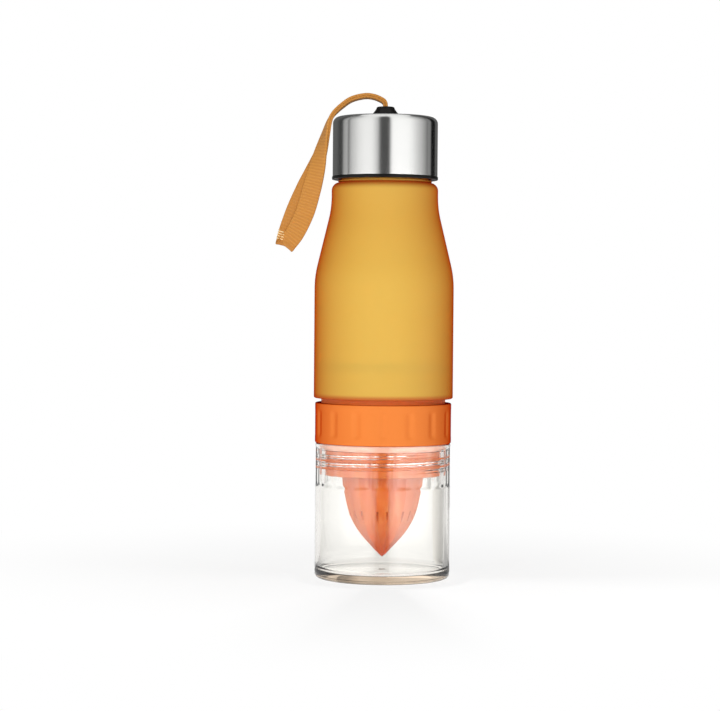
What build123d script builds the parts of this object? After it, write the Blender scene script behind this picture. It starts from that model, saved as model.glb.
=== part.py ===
from build123d import *
from math import cos, isclose, pi, radians, sin, tan
import os

# Fruit infuser water bottle: a clear cup, a citrus press in its grip collar,
# a frosted body and a steel lid with a webbing loop. Millimetres, +Z up,
# origin at the centre of the cup's foot, on the table.

# Fits between the pieces
seat_gap = 0.3        # between two threaded pieces screwed home
seal_gap = 0.15       # on each flat side of a sealing ring
seal_side_gap = 0.2   # between a sealing ring and the wall beside it
push_gap = 0.1        # between two pieces that are pushed together for good
thread_room = 1.5     # between a threaded wall and the bore round it, for both threads
overrun = 1.0         # how far a cut runs past the face that it leaves

# Widths of the stack: the body's radius, and how far the others stand in from it
body_radius = 36.0
cup_step = 1.0
collar_step = 0.75
shoulder_step = 8.5
neck_step = 13.4

# Clear cup
cup_radius = body_radius - cup_step
cup_height = 69.7
cup_wall = 2.5
cup_floor = 4.0
cup_foot_radius = 2.2
cup_inner_radius = 3.0
cup_rim_round = 0.5
gate_radius = 1.6
gate_height = 0.4
seal_pocket_depth = 3.0
seal_pocket_wall = 1.8
cup_panel_count = 20
cup_panel_share = 0.78        # of the pitch round the cup
cup_panel_height = 19.0
cup_panel_depth = 0.5
cup_panel_drop = 2.2

# Grip collar
collar_radius = body_radius - collar_step
collar_wall = 3.05
collar_height = 20.6
collar_edge_round = 0.6
collar_flute_count = 16
collar_flute_radius = 2.2
collar_flute_depth = 0.4
collar_flute_margin = 3.2

# Citrus press
lower_spigot_radius = cup_radius - cup_wall - thread_room
lower_spigot_length = 16.4
upper_spigot_length = 11.5
press_wall = 2.6
press_bore = lower_spigot_radius - press_wall
press_flange_step = 1.4       # how far the flange stands in from the cup's side
press_flange_radius = cup_radius - press_flange_step
press_flange_height = 1.5
barrel_radius = collar_radius - collar_wall - push_gap
barrel_side_gap = 0.5         # between the barrel's top and the body's bore
barrel_pilot = 1.0
strainer_thickness = 2.0
strainer_slot_count = 24
strainer_slot_width = 1.6
strainer_rim = 1.2
reamer_radius_share = 0.75    # of the bore's radius
reamer_radius = reamer_radius_share * press_bore
reamer_floor_gap = 6.6        # between the tip and the cup's floor
reamer_wall = 1.8
reamer_rib_count = 8
reamer_flute_depth_share = 0.11
reamer_crest_share = 0.42
reamer_slot_height = 6.0
reamer_slot_width = 1.0
reamer_slot_drop_share = 0.49    # of the reamer's length, down from the strainer
reamer_slot_offset = 8.5     # degrees from the rib's centre
reamer_tip_radius = 0.9
# Depth below the strainer and radius, as shares of the reamer's length and radius
reamer_profile_shares = (
    (0.0, 1.0), (0.23, 0.93), (0.47, 0.815), (0.66, 0.62), (0.81, 0.375), (0.92, 0.17),
)

# Frosted body
body_wall = 2.8
body_bore_radius = barrel_radius + barrel_side_gap
upper_spigot_radius = body_bore_radius - thread_room
body_straight_height = 56.6
body_taper_angle = 13.5       # degrees from upright
body_bend_radius = 52.0
body_upper_radius = body_radius - shoulder_step
body_upper_height = 6.9
body_corner_radius = 4.0
body_rim_round = 0.8
groove_height = 2.4           # open ring between the collar and the body
body_ledge_width = 2.8
body_ledge_radius = body_bore_radius - body_ledge_width
body_ledge_height = 1.6
neck_radius = body_radius - neck_step
neck_wall = 2.2
neck_root_step = 0.6
neck_root_radius = neck_radius + neck_root_step
neck_root_height = 0.3
neck_bead_step = 1.6
neck_bead_radius = neck_radius + neck_bead_step
neck_bead_height = 0.8
neck_height = 13.3
neck_rim_round = 0.4

# Sealing rings
body_seal_thickness = 2.0
lid_seal_thickness = 2.0

# Lid
lid_gap = 0.4                 # between the neck bead and the lid's rim
liner_bore_radius = neck_radius + thread_room
liner_wall = 2.2
liner_radius = liner_bore_radius + liner_wall
liner_web = 2.0
shell_wall = 0.7
shell_bore_radius = liner_radius + push_gap
shell_radius = shell_bore_radius + shell_wall
shell_height = 30.7
shell_corner_radius = 3.3
liner_rim_step = 0.3
liner_rim_radius = shell_radius + liner_rim_step
liner_rim_height = 1.6
liner_rim_round = 0.4
plug_side_gap = 0.5           # between the plug and the neck's bore
plug_radius = neck_radius - neck_wall - plug_side_gap
plug_wall = 1.5
plug_depth = 3.0

# Webbing strap
web_width = 9.4
web_thickness = 1.3
layers_thickness = 2 * web_thickness
web_slot_gap = 0.4
web_pin_radius = 1.25
web_pin_overhang = 1.9        # past each side of the slot
strap_rise = 10.9             # top of the arch above the lid's top
strap_reach = 24.5            # how far the end hangs out past the lid's side
strap_drop = 66.4             # how far the end hangs below the lid's top
strap_lift = 1.6              # from the knob's top up to the bend of the webbing
# Over the lid: out as a share of the lid's radius, up as a share of the rise
strap_over_lid_shares = (
    (0.07, 0.8), (0.21, 0.95), (0.39, 1.0), (0.64, 0.85), (0.82, 0.56), (0.985, 0.17),
)
# Beside the lid: out and down as shares of the reach and the drop,
# then the width as a share of the webbing's, and the twist as a share of a quarter turn
strap_hanging_shares = (
    (0.075, 0.032, 1.0, 0.03),
    (0.175, 0.141, 1.0, 0.12),
    (0.295, 0.281, 1.02, 0.3),
    (0.41, 0.41, 1.1, 0.52),
    (0.56, 0.57, 1.32, 0.78),
    (0.7, 0.727, 1.53, 0.93),
    (0.86, 0.884, 1.4, 1.0),
    (1.0, 1.0, 1.06, 1.0),
)

# Strap knob: a grommet through the lid's top, with a slot for the webbing.
# Widths are across the slot and lengths along it
slot_width = layers_thickness + 2 * web_slot_gap
slot_length = web_width + 2 * web_slot_gap
stem_wall = 1.3
stem_end_wall = 1.2
stem_width = slot_width + 2 * stem_wall
stem_length = slot_length + 2 * stem_end_wall
stem_depth = 4.6
stem_barb = 0.6
stem_barb_height = 1.4
stem_hole_gap = 0.2
knob_side_rim = 4.2
knob_end_rim = 3.1
knob_base_width = stem_width + 2 * knob_side_rim
knob_base_length = stem_length + 2 * knob_end_rim
knob_draft = 2.8
knob_top_width = knob_base_width - 2 * knob_draft
knob_top_length = knob_base_length - 2 * knob_draft
knob_height = 5.2
knob_round = 0.9

# Heights of the stack, from the table up
press_z = cup_height + seat_gap
strainer_z = press_z - lower_spigot_length
reamer_length = strainer_z - cup_floor - reamer_floor_gap
collar_top_z = press_z + collar_height
body_z = collar_top_z + groove_height
spigot_top_z = body_z + upper_spigot_length
body_ledge_z = spigot_top_z + body_seal_thickness + 2 * seal_gap
taper_z = body_z + body_straight_height
taper_straight_run = shoulder_step - 2 * body_bend_radius * (1 - cos(radians(body_taper_angle)))
taper_height = (
    2 * body_bend_radius * sin(radians(body_taper_angle))
    + taper_straight_run / tan(radians(body_taper_angle))
)
upper_z = taper_z + taper_height
neck_z = upper_z + body_upper_height
bead_z = neck_z + neck_root_height
neck_top_z = neck_z + neck_height
lid_z = bead_z + neck_bead_height + lid_gap
shell_z = lid_z + liner_rim_height
lid_top_z = shell_z + shell_height
web_z = neck_top_z + lid_seal_thickness + 2 * seal_gap
knob_top_z = lid_top_z + knob_height
stem_end_z = lid_top_z - stem_depth
web_loop_radius = web_pin_radius + push_gap + web_thickness
web_pin_z = stem_end_z - push_gap - web_loop_radius
strap_bend_z = knob_top_z + strap_lift


def rings(solid, radius, height):
    """Round edges of a solid at one radius and one height."""
    circles = solid.edges().filter_by(GeomType.CIRCLE)
    at_height = circles.filter_by(lambda edge: isclose(edge.center().Z, height, abs_tol=1e-4))
    return at_height.filter_by(lambda edge: isclose(edge.radius, radius, abs_tol=1e-4))


def polar_point(radius, angle):
    """Point of a flat section, from its radius and its angle in degrees."""
    return radius * cos(radians(angle)), radius * sin(radians(angle))


def ring_section(inner_radius, outer_radius):
    """Flat ring about the bottle's axis, in the sketch that is being drawn."""
    Circle(outer_radius)
    Circle(inner_radius, mode=Mode.SUBTRACT)


os.makedirs("parts", exist_ok=True)

# Room inside the cup, rounded where its wall meets the floor
with BuildPart() as cup_room:
    with BuildSketch(Plane.XY.offset(cup_floor)):
        Circle(cup_radius - cup_wall)
    extrude(amount=cup_height)
    fillet(rings(cup_room, cup_radius - cup_wall, cup_floor), radius=cup_inner_radius)

# Cup: a thick floored tumbler with a flat foot
with BuildPart() as base_cup:
    with BuildSketch():
        Circle(cup_radius)
    extrude(amount=cup_height)
    fillet(rings(base_cup, cup_radius, 0), radius=cup_foot_radius)
    add(cup_room.part, mode=Mode.SUBTRACT)
    # Pocket in the rim that holds the sealing ring
    with BuildSketch(Plane.XY.offset(cup_height - seal_pocket_depth)):
        Circle(cup_radius - seal_pocket_wall)
    extrude(amount=seal_pocket_depth + overrun, mode=Mode.SUBTRACT)
    fillet(rings(base_cup, cup_radius, cup_height), radius=cup_rim_round)
    # Mark of the moulding gate in the middle of the floor
    with BuildSketch(Plane.XY.offset(cup_floor)):
        Circle(gate_radius)
    extrude(amount=gate_height)
    # Flat gripping panels round the threaded band
    panel_middle_z = cup_height - cup_panel_drop - cup_panel_height / 2
    cup_panel_width = cup_panel_share * 2 * pi * cup_radius / cup_panel_count
    with Locations((0, 0, panel_middle_z)):
        with PolarLocations(cup_radius, cup_panel_count):
            Box(2 * cup_panel_depth, cup_panel_width, cup_panel_height, mode=Mode.SUBTRACT)
base_cup.part.label = "base_cup"

# Silicone ring in the rim's pocket, under the flange of the press
with BuildPart() as cup_seal:
    with BuildSketch(Plane.XY.offset(cup_height - seal_pocket_depth + seal_gap)):
        seal_outer_radius = cup_radius - seal_pocket_wall - seal_side_gap
        ring_section(lower_spigot_radius + seal_side_gap, seal_outer_radius)
    extrude(amount=seal_pocket_depth + seat_gap - 2 * seal_gap)
cup_seal.part.label = "cup_seal"


def reamer_section(radius, height):
    """Flat lobed section: broad rib crests on the circle, with hollow flutes between them."""
    pitch = 360 / reamer_rib_count
    crest = pitch * reamer_crest_share
    flute_radius = radius * (1 - reamer_flute_depth_share)
    with BuildSketch(Plane.XY.offset(height), mode=Mode.PRIVATE) as section:
        with BuildLine():
            for rib in range(reamer_rib_count):
                middle = rib * pitch
                crest_start = polar_point(radius, middle - crest / 2)
                crest_end = polar_point(radius, middle + crest / 2)
                flute_end = polar_point(radius, middle + pitch - crest / 2)
                ThreePointArc(crest_start, polar_point(radius, middle), crest_end)
                ThreePointArc(crest_end, polar_point(flute_radius, middle + pitch / 2), flute_end)
        make_face()
    return section.sketch


def reamer_solid(radius, length, top_z):
    """Ribbed pointed form that hangs down from top_z, one loft through its lobed sections."""
    with BuildPart() as form:
        sections = [
            reamer_section(radius * across_share, top_z - length * down_share)
            for down_share, across_share in reamer_profile_shares
        ]
        sections.append(reamer_section(reamer_tip_radius, top_z - length + reamer_tip_radius))
        loft(sections=[section.face() for section in sections])
        with Locations((0, 0, top_z - length + reamer_tip_radius)):
            Sphere(reamer_tip_radius)
    return form.part


# Press: barrel and two spigots with one bore, a slotted strainer and the hollow reamer
with BuildPart() as juicer_press:
    with BuildSketch(Plane.XY.offset(strainer_z)):
        Circle(lower_spigot_radius)
    extrude(amount=lower_spigot_length)
    with BuildSketch(Plane.XY.offset(press_z)):
        Circle(press_flange_radius)
    extrude(amount=press_flange_height)
    with BuildSketch(Plane.XY.offset(press_z)):
        Circle(barrel_radius)
    extrude(amount=collar_height + groove_height + barrel_pilot)
    with BuildSketch(Plane.XY.offset(press_z)):
        Circle(upper_spigot_radius)
    extrude(amount=spigot_top_z - press_z)
    with BuildSketch(Plane.XY.offset(strainer_z + strainer_thickness)):
        Circle(press_bore)
    extrude(amount=spigot_top_z - strainer_z, mode=Mode.SUBTRACT)
    # The reamer and its hollow, open to the bore above
    add(reamer_solid(reamer_radius, reamer_length, strainer_z))
    hollow_radius = reamer_radius - reamer_wall
    hollow_length = reamer_length - 2 * reamer_wall
    add(reamer_solid(hollow_radius, hollow_length, strainer_z), mode=Mode.SUBTRACT)
    with BuildSketch(Plane.XY.offset(strainer_z)):
        add(reamer_section(hollow_radius, 0))
    extrude(amount=strainer_thickness + overrun, mode=Mode.SUBTRACT)
    # Radial slots through the strainer plate, between the reamer and the bore
    slot_start = reamer_radius + strainer_rim
    slot_end = press_bore - strainer_rim
    with BuildSketch(Plane.XY.offset(strainer_z)):
        with PolarLocations((slot_start + slot_end) / 2, strainer_slot_count):
            SlotOverall(slot_end - slot_start, strainer_slot_width)
    extrude(amount=strainer_thickness, mode=Mode.SUBTRACT)
    # A pair of upright slots beside each rib, low on the reamer
    reamer_slot_z = strainer_z - reamer_slot_drop_share * reamer_length
    for side in (-1, 1):
        with Locations((0, 0, reamer_slot_z)):
            with PolarLocations(
                reamer_radius, reamer_rib_count, start_angle=side * reamer_slot_offset
            ):
                Box(reamer_radius, reamer_slot_width, reamer_slot_height, mode=Mode.SUBTRACT)
juicer_press.part.label = "juicer_press"

# Collar: pushed down the barrel onto the flange, with shallow grip flutes
with BuildPart() as grip_collar:
    with BuildSketch(Plane.XY.offset(press_z)):
        Circle(collar_radius)
        Circle(barrel_radius + push_gap, mode=Mode.SUBTRACT)
    extrude(amount=collar_height)
    with BuildSketch(Plane.XY.offset(press_z)):
        Circle(press_flange_radius + push_gap)
    extrude(amount=press_flange_height, mode=Mode.SUBTRACT)
    fillet(rings(grip_collar, collar_radius, press_z), radius=collar_edge_round)
    fillet(rings(grip_collar, collar_radius, collar_top_z), radius=collar_edge_round)
    with BuildSketch(Plane.XY.offset(press_z + collar_flute_margin)):
        with PolarLocations(
            collar_radius + collar_flute_radius - collar_flute_depth, collar_flute_count
        ):
            Circle(collar_flute_radius)
    extrude(amount=collar_height - 2 * collar_flute_margin, mode=Mode.SUBTRACT)
grip_collar.part.label = "grip_collar"

# Silicone ring on top of the press, under the ledge inside the body
with BuildPart() as body_seal:
    with BuildSketch(Plane.XY.offset(spigot_top_z + seal_gap)):
        ring_section(press_bore + seal_side_gap, upper_spigot_radius)
    extrude(amount=body_seal_thickness)
body_seal.part.label = "body_seal"


def taper_points(inset):
    """Five points up the body's taper and its two bends, moved in by the inset."""
    angle = radians(body_taper_angle)
    low_radius = body_bend_radius - inset
    high_radius = body_bend_radius + inset
    low_x = body_radius - body_bend_radius
    high_x = body_upper_radius + body_bend_radius
    return (
        (low_x + low_radius * cos(angle / 2), taper_z + low_radius * sin(angle / 2)),
        (low_x + low_radius * cos(angle), taper_z + low_radius * sin(angle)),
        (high_x - high_radius * cos(angle), upper_z - high_radius * sin(angle)),
        (high_x - high_radius * cos(angle / 2), upper_z - high_radius * sin(angle / 2)),
        (body_upper_radius - inset, upper_z),
    )


def body_form(inset, bottom_z, top_z):
    """Solid of the body's outline from bottom_z to top_z, moved in by the inset."""
    bend_low, taper_low, taper_high, bend_high, taper_end = taper_points(inset)
    with BuildPart() as form:
        with BuildSketch(Plane.XZ):
            with BuildLine():
                Line((0, bottom_z), (body_radius - inset, bottom_z))
                Line((body_radius - inset, bottom_z), (body_radius - inset, taper_z))
                ThreePointArc((body_radius - inset, taper_z), bend_low, taper_low)
                Line(taper_low, taper_high)
                ThreePointArc(taper_high, bend_high, taper_end)
                Line(taper_end, (body_upper_radius - inset, top_z))
                Line((body_upper_radius - inset, top_z), (0, top_z))
                Line((0, top_z), (0, bottom_z))
            make_face()
        revolve(axis=Axis.Z)
        corner = body_corner_radius - inset
        fillet(rings(form, body_upper_radius - inset, top_z), radius=corner)
    return form.part


# Body: one shell from the wide threaded bottom to the neck
with BuildPart() as bottle_body:
    add(body_form(0, body_z, neck_z))
    fillet(rings(bottle_body, body_radius, body_z), radius=body_rim_round)
    with BuildSketch(Plane.XY.offset(neck_z)):
        Circle(neck_root_radius)
    extrude(amount=neck_root_height)
    with BuildSketch(Plane.XY.offset(bead_z)):
        Circle(neck_bead_radius)
    extrude(amount=neck_bead_height)
    with BuildSketch(Plane.XY.offset(neck_z)):
        Circle(neck_radius)
    extrude(amount=neck_height)
    bead_round = neck_bead_height / 3
    fillet(rings(bottle_body, neck_bead_radius, bead_z), radius=bead_round)
    fillet(rings(bottle_body, neck_bead_radius, bead_z + neck_bead_height), radius=bead_round)
    fillet(rings(bottle_body, neck_radius, neck_top_z), radius=neck_rim_round)
    # The hollow: threaded bore, sealing ledge, main room and neck
    with BuildSketch(Plane.XY.offset(body_z)):
        Circle(body_bore_radius)
    extrude(amount=body_ledge_z - body_z, mode=Mode.SUBTRACT)
    with BuildSketch(Plane.XY.offset(body_z)):
        Circle(body_ledge_radius)
    extrude(amount=body_ledge_z + body_ledge_height - body_z + overrun, mode=Mode.SUBTRACT)
    room_radius = body_radius - body_wall
    with BuildSketch(Plane.XZ):
        ledge_top_z = body_ledge_z + body_ledge_height
        cone_top_z = ledge_top_z + room_radius - body_ledge_radius
        with BuildLine():
            Polyline(
                (0, ledge_top_z),
                (body_ledge_radius, ledge_top_z),
                (room_radius, cone_top_z),
                (0, cone_top_z),
                close=True,
            )
        make_face()
    revolve(axis=Axis.Z, mode=Mode.SUBTRACT)
    add(body_form(body_wall, cone_top_z, neck_z - body_wall), mode=Mode.SUBTRACT)
    with BuildSketch(Plane.XY.offset(neck_z - body_wall - overrun)):
        Circle(neck_radius - neck_wall)
    extrude(amount=neck_height + body_wall + 2 * overrun, mode=Mode.SUBTRACT)
bottle_body.part.label = "bottle_body"

# Silicone ring between the neck's rim and the liner, centred on the liner's plug
with BuildPart() as lid_seal:
    with BuildSketch(Plane.XY.offset(neck_top_z + seal_gap)):
        ring_section(plug_radius + seal_side_gap, liner_bore_radius - seal_side_gap)
    extrude(amount=lid_seal_thickness)
lid_seal.part.label = "lid_seal"

# Liner: threaded skirt with a rim below the steel, a sealing web and a plug lip
liner_top_z = lid_top_z - shell_corner_radius
with BuildPart() as lid_liner:
    with BuildSketch(Plane.XY.offset(lid_z)):
        Circle(liner_rim_radius)
    extrude(amount=liner_rim_height)
    fillet(rings(lid_liner, liner_rim_radius, lid_z), radius=liner_rim_round)
    with BuildSketch(Plane.XY.offset(shell_z)):
        Circle(liner_radius)
    extrude(amount=liner_top_z - shell_z)
    with BuildSketch(Plane.XY.offset(lid_z)):
        Circle(liner_bore_radius)
    extrude(amount=web_z - lid_z, mode=Mode.SUBTRACT)
    with BuildSketch(Plane.XY.offset(web_z + liner_web)):
        Circle(liner_bore_radius)
    extrude(amount=liner_top_z - web_z, mode=Mode.SUBTRACT)
    with BuildSketch(Plane.XY.offset(web_z - plug_depth)):
        ring_section(plug_radius - plug_wall, plug_radius)
    extrude(amount=plug_depth)
lid_liner.part.label = "lid_liner"

# Room inside the drawn steel
with BuildPart() as shell_room:
    with BuildSketch(Plane.XY.offset(shell_z)):
        Circle(shell_bore_radius)
    extrude(amount=shell_height - shell_wall)
    shell_ceiling = rings(shell_room, shell_bore_radius, lid_top_z - shell_wall)
    fillet(shell_ceiling, radius=shell_corner_radius - shell_wall)

# Shell: drawn steel cup over the liner, with a hole for the grommet's stem
with BuildPart() as lid_shell:
    with BuildSketch(Plane.XY.offset(shell_z)):
        Circle(shell_radius)
    extrude(amount=shell_height)
    fillet(rings(lid_shell, shell_radius, lid_top_z), radius=shell_corner_radius)
    add(shell_room.part, mode=Mode.SUBTRACT)
    with BuildSketch(Plane.XY.offset(lid_top_z - shell_wall)):
        SlotOverall(
            stem_length + 2 * stem_hole_gap, stem_width + 2 * stem_hole_gap, rotation=90
        )
    extrude(amount=shell_wall + overrun, mode=Mode.SUBTRACT)
lid_shell.part.label = "lid_shell"

# Grommet: domed knob with a barbed stem through the steel and a slot down its middle
with BuildPart() as strap_grommet:
    with BuildSketch(Plane.XY.offset(lid_top_z)):
        SlotOverall(knob_base_length, knob_base_width, rotation=90)
    with BuildSketch(Plane.XY.offset(knob_top_z)):
        SlotOverall(knob_top_length, knob_top_width, rotation=90)
    loft()
    fillet(strap_grommet.faces().sort_by(Axis.Z)[-1].edges(), radius=knob_round)
    with BuildSketch(Plane.XY.offset(stem_end_z)):
        SlotOverall(stem_length, stem_width, rotation=90)
    extrude(amount=stem_depth)
    with BuildSketch(Plane.XY.offset(lid_top_z - shell_wall - push_gap)):
        SlotOverall(stem_length + 2 * stem_barb, stem_width + 2 * stem_barb, rotation=90)
    extrude(amount=-stem_barb_height)
    with BuildSketch(Plane.XY.offset(stem_end_z)):
        Rectangle(slot_width, slot_length)
    extrude(amount=stem_depth + knob_height, mode=Mode.SUBTRACT)
strap_grommet.part.label = "strap_grommet"

# Pin across the webbing, too long to pass through the grommet
web_pin_length = slot_length + 2 * web_pin_overhang
with BuildPart() as strap_pin:
    with BuildSketch(Plane.XZ.offset(-web_pin_length / 2)):
        with Locations((0, web_pin_z)):
            Circle(web_pin_radius)
    extrude(amount=web_pin_length)
strap_pin.part.label = "strap_pin"

# Ends of the webbing: two layers up through the grommet, closed round the pin
with BuildPart() as strap_tail:
    with BuildSketch(Plane.XZ.offset(-web_width / 2)):
        with Locations((0, web_pin_z)):
            Circle(web_loop_radius)
        with Locations((0, (web_pin_z + knob_top_z) / 2)):
            Rectangle(layers_thickness, knob_top_z - web_pin_z)
        with Locations((0, web_pin_z)):
            Circle(web_pin_radius + push_gap, mode=Mode.SUBTRACT)
    extrude(amount=web_width)
strap_tail.part.label = "strap_tail"


def strap_stations():
    """Centre, width and twist of the doubled webbing at each step of its route."""
    stations = [(Vector(0, 0, strap_bend_z), web_width, 0)]
    for out_share, up_share in strap_over_lid_shares:
        centre = Vector(-out_share * shell_radius, 0, lid_top_z + up_share * strap_rise)
        stations.append((centre, web_width, 0))
    for out_share, down_share, width_share, twist_share in strap_hanging_shares:
        out = shell_radius + out_share * strap_reach
        centre = Vector(-out, 0, lid_top_z - down_share * strap_drop)
        stations.append((centre, width_share * web_width, twist_share * pi / 2))
    return stations


# Loop: the doubled webbing arches off the lid and twists to face forward as it hangs
with BuildPart() as strap:
    route = strap_stations()
    centres = [centre for centre, width, twist in route]
    for index, (centre, width, twist) in enumerate(route):
        before = centres[max(index - 1, 0)]
        after = centres[min(index + 1, len(centres) - 1)]
        along = Vector(0, 0, 1) if index == 0 else (after - before).normalized()
        across = Vector(0, 1, 0) * cos(twist) + Vector(0, 1, 0).cross(along) * sin(twist)
        with BuildSketch(Plane(origin=centre, x_dir=across, z_dir=along)):
            Rectangle(width, layers_thickness)
    loft()
    # Half round where it bends over the knob
    with BuildSketch(Plane.XZ.offset(-web_width / 2)):
        with Locations((0, strap_bend_z)):
            Circle(layers_thickness / 2)
            Rectangle(
                layers_thickness, layers_thickness,
                align=(Align.CENTER, Align.MIN), mode=Mode.SUBTRACT,
            )
    extrude(amount=web_width)
strap.part.label = "strap"

pieces = (
    base_cup, cup_seal, juicer_press, grip_collar, body_seal, bottle_body, lid_seal,
    lid_liner, lid_shell, strap_grommet, strap_pin, strap_tail, strap,
)
for name in pieces:
    export_step(name.part, f"parts/{name.part.label}.step")
    print(f"{name.part.label}: {name.part.volume:.0f} mm3")
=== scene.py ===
# %% [markdown]
# # A fruit infuser water bottle, dressed over its CAD frame
#
# The bottle stands on a pale table: a clear cup, an orange citrus press in its grip
# collar, a frosted amber body, and a brushed steel lid with a webbing wrist loop.
# The CAD model gives the places, sizes and joints. Here each visible piece gets its
# final surface and finish. Two kinds of work take turns: surfaces, worked out with
# numpy as whole grids of points, and materials, wired from shader nodes.

# %% Load the frame
from math import cos, pi, radians, sin, tan, tau

import bpy
import numpy as np
from mathutils import Matrix, Vector


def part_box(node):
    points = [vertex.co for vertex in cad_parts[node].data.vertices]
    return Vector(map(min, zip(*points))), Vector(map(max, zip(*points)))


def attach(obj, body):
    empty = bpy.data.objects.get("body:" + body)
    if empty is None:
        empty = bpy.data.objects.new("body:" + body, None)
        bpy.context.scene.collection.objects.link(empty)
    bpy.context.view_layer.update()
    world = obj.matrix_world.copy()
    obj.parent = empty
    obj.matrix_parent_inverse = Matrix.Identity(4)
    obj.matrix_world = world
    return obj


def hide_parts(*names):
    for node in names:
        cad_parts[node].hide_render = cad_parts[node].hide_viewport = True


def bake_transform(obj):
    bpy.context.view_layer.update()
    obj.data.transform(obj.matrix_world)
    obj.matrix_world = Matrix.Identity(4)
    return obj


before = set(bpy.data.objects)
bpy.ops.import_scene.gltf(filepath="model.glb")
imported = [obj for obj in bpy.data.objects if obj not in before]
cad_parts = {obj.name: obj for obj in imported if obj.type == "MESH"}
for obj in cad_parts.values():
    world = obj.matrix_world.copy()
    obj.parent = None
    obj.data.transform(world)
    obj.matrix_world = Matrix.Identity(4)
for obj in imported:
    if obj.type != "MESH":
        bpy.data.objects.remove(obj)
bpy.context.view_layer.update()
MM = 0.001

# %% [markdown]
# ## The camera
#
# The photograph was taken from a little over half the bottle's height, with a long
# lens, so upright lines stay nearly parallel: the lid's rim bows up and the cup's
# foot bows down. The camera looks along +Y, turned slightly down and to the left,
# and it leans a little because the bottle leans in the picture.

# %% Camera
CAMERA_PLACE = (0.0, -1.10, 0.143)
CAMERA_LENS = 106.2
CAMERA_DOWN = radians(1.463)
CAMERA_LEFT = radians(0.636)
CAMERA_LEAN = radians(0.45)
camera_data = bpy.data.cameras.new("camera")
camera_data.lens = CAMERA_LENS
camera_data.clip_start = 0.01
camera = bpy.data.objects.new("camera", camera_data)
bpy.context.scene.collection.objects.link(camera)
camera.matrix_world = (
    Matrix.Translation(CAMERA_PLACE)
    @ Matrix.Rotation(CAMERA_LEFT, 4, "Z")
    @ Matrix.Rotation(pi / 2 - CAMERA_DOWN, 4, "X")
    @ Matrix.Rotation(CAMERA_LEAN, 4, "Z")
)
bpy.context.scene.camera = camera
bpy.context.scene.view_settings.view_transform = "Standard"
print("Camera at", CAMERA_PLACE, "lens", CAMERA_LENS)

# %% [markdown]
# ## Node trees in a few words
#
# A material is a small graph: nodes hold values, and links carry them from one node's
# output socket to the next one's input. These helpers keep the cells below short. All
# of them take either a plain value, which is set, or a socket, which is linked.

# %% Helpers for node trees
def give(slot, value):
    """Link a socket to an input slot, or set the slot to a number, vector or colour."""
    if isinstance(value, bpy.types.NodeSocket):
        slot.id_data.links.new(value, slot)
    elif slot.type == "RGBA":
        slot.default_value = (*value, 1.0)
    else:
        slot.default_value = value


def fill(made, **values):
    """Give values to a node's inputs by their names."""
    for key, value in values.items():
        give(made.inputs[key.replace("_", " ")], value)


def node(tree, kind, **settings):
    """Add a node. A setting that is named like an input fills it, the rest are properties."""
    made = tree.nodes.new(kind)
    for key, value in settings.items():
        if key.replace("_", " ") in made.inputs:
            fill(made, **{key: value})
        else:
            setattr(made, key, value)
    return made


def math_node(tree, operation, *values, clamp=False):
    """One step of arithmetic; returns its output socket."""
    made = node(tree, "ShaderNodeMath", operation=operation, use_clamp=clamp)
    for slot, value in zip(made.inputs, values):
        give(slot, value)
    return made.outputs[0]


def mix_colour(tree, share, first, second):
    """Blend two colours by a share; returns the output socket."""
    made = node(tree, "ShaderNodeMix", data_type="RGBA")
    for slot, value in zip((made.inputs[0], *made.inputs[6:8]), (share, first, second)):
        give(slot, value)
    return made.outputs[2]


def ranged(tree, value, low, high, start=0.0, end=1.0, soft=False):
    """From start to end as value goes from low to high, evenly or with soft ends."""
    made = node(
        tree, "ShaderNodeMapRange", Value=value,
        From_Min=low, From_Max=high, To_Min=start, To_Max=end,
    )
    made.interpolation_type = "SMOOTHSTEP" if soft else "LINEAR"
    return made.outputs["Result"]


def height_mask(tree, place, low, high, start=0.0, end=1.0, soft=False):
    """From start to end between two heights in millimetres."""
    height = node(tree, "ShaderNodeSeparateXYZ", Vector=place).outputs["Z"]
    return ranged(tree, height, low * MM, high * MM, start, end, soft)


def distance_out(tree, place):
    """Distance from the bottle's foot in metres."""
    return node(tree, "ShaderNodeVectorMath", operation="LENGTH", Vector=place).outputs["Value"]


def new_material(name):
    """A fresh material: returns it, its tree, its shader and its object coordinates."""
    material = bpy.data.materials.new(name)
    material.use_nodes = True
    tree = material.node_tree
    place = node(tree, "ShaderNodeTexCoord").outputs["Object"]
    return material, tree, tree.nodes["Principled BSDF"], place


def dress(piece, material):
    """Give a piece, new or from the CAD, this one material."""
    piece.data.materials.clear()
    piece.data.materials.append(material)
    print(piece.name, "wears", material.name)


print("Node helpers ready")

# %% [markdown]
# ## Studio: white sweep, soft boxes and dark flags
#
# The bottle stands in front of pure white. White that bright on every side would
# also wash out the steel, so photographers put soft boxes and black flags round such
# a lid. Here a tall ring of light and dark strips does the same job. The world is white
# for the camera, for reflections and through the clear plastic, and softer where it
# lights the object.

# %% World and lamps
LIGHT_LEVEL = 0.18
WHITE = (1.0, 1.0, 1.0)
MIDDLE = (0, 0, 0.13)
world = bpy.data.worlds.new("studio")
bpy.context.scene.world = world
world.use_nodes = True
sky = world.node_tree
rays = node(sky, "ShaderNodeLightPath").outputs
seen = math_node(sky, "MAXIMUM", rays["Is Camera Ray"], rays["Is Glossy Ray"])
seen = math_node(sky, "MAXIMUM", seen, rays["Is Transmission Ray"])
level = math_node(sky, "MULTIPLY_ADD", seen, 1.0 - LIGHT_LEVEL, LIGHT_LEVEL)
fill(sky.nodes["Background"], Color=WHITE, Strength=level)


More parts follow.
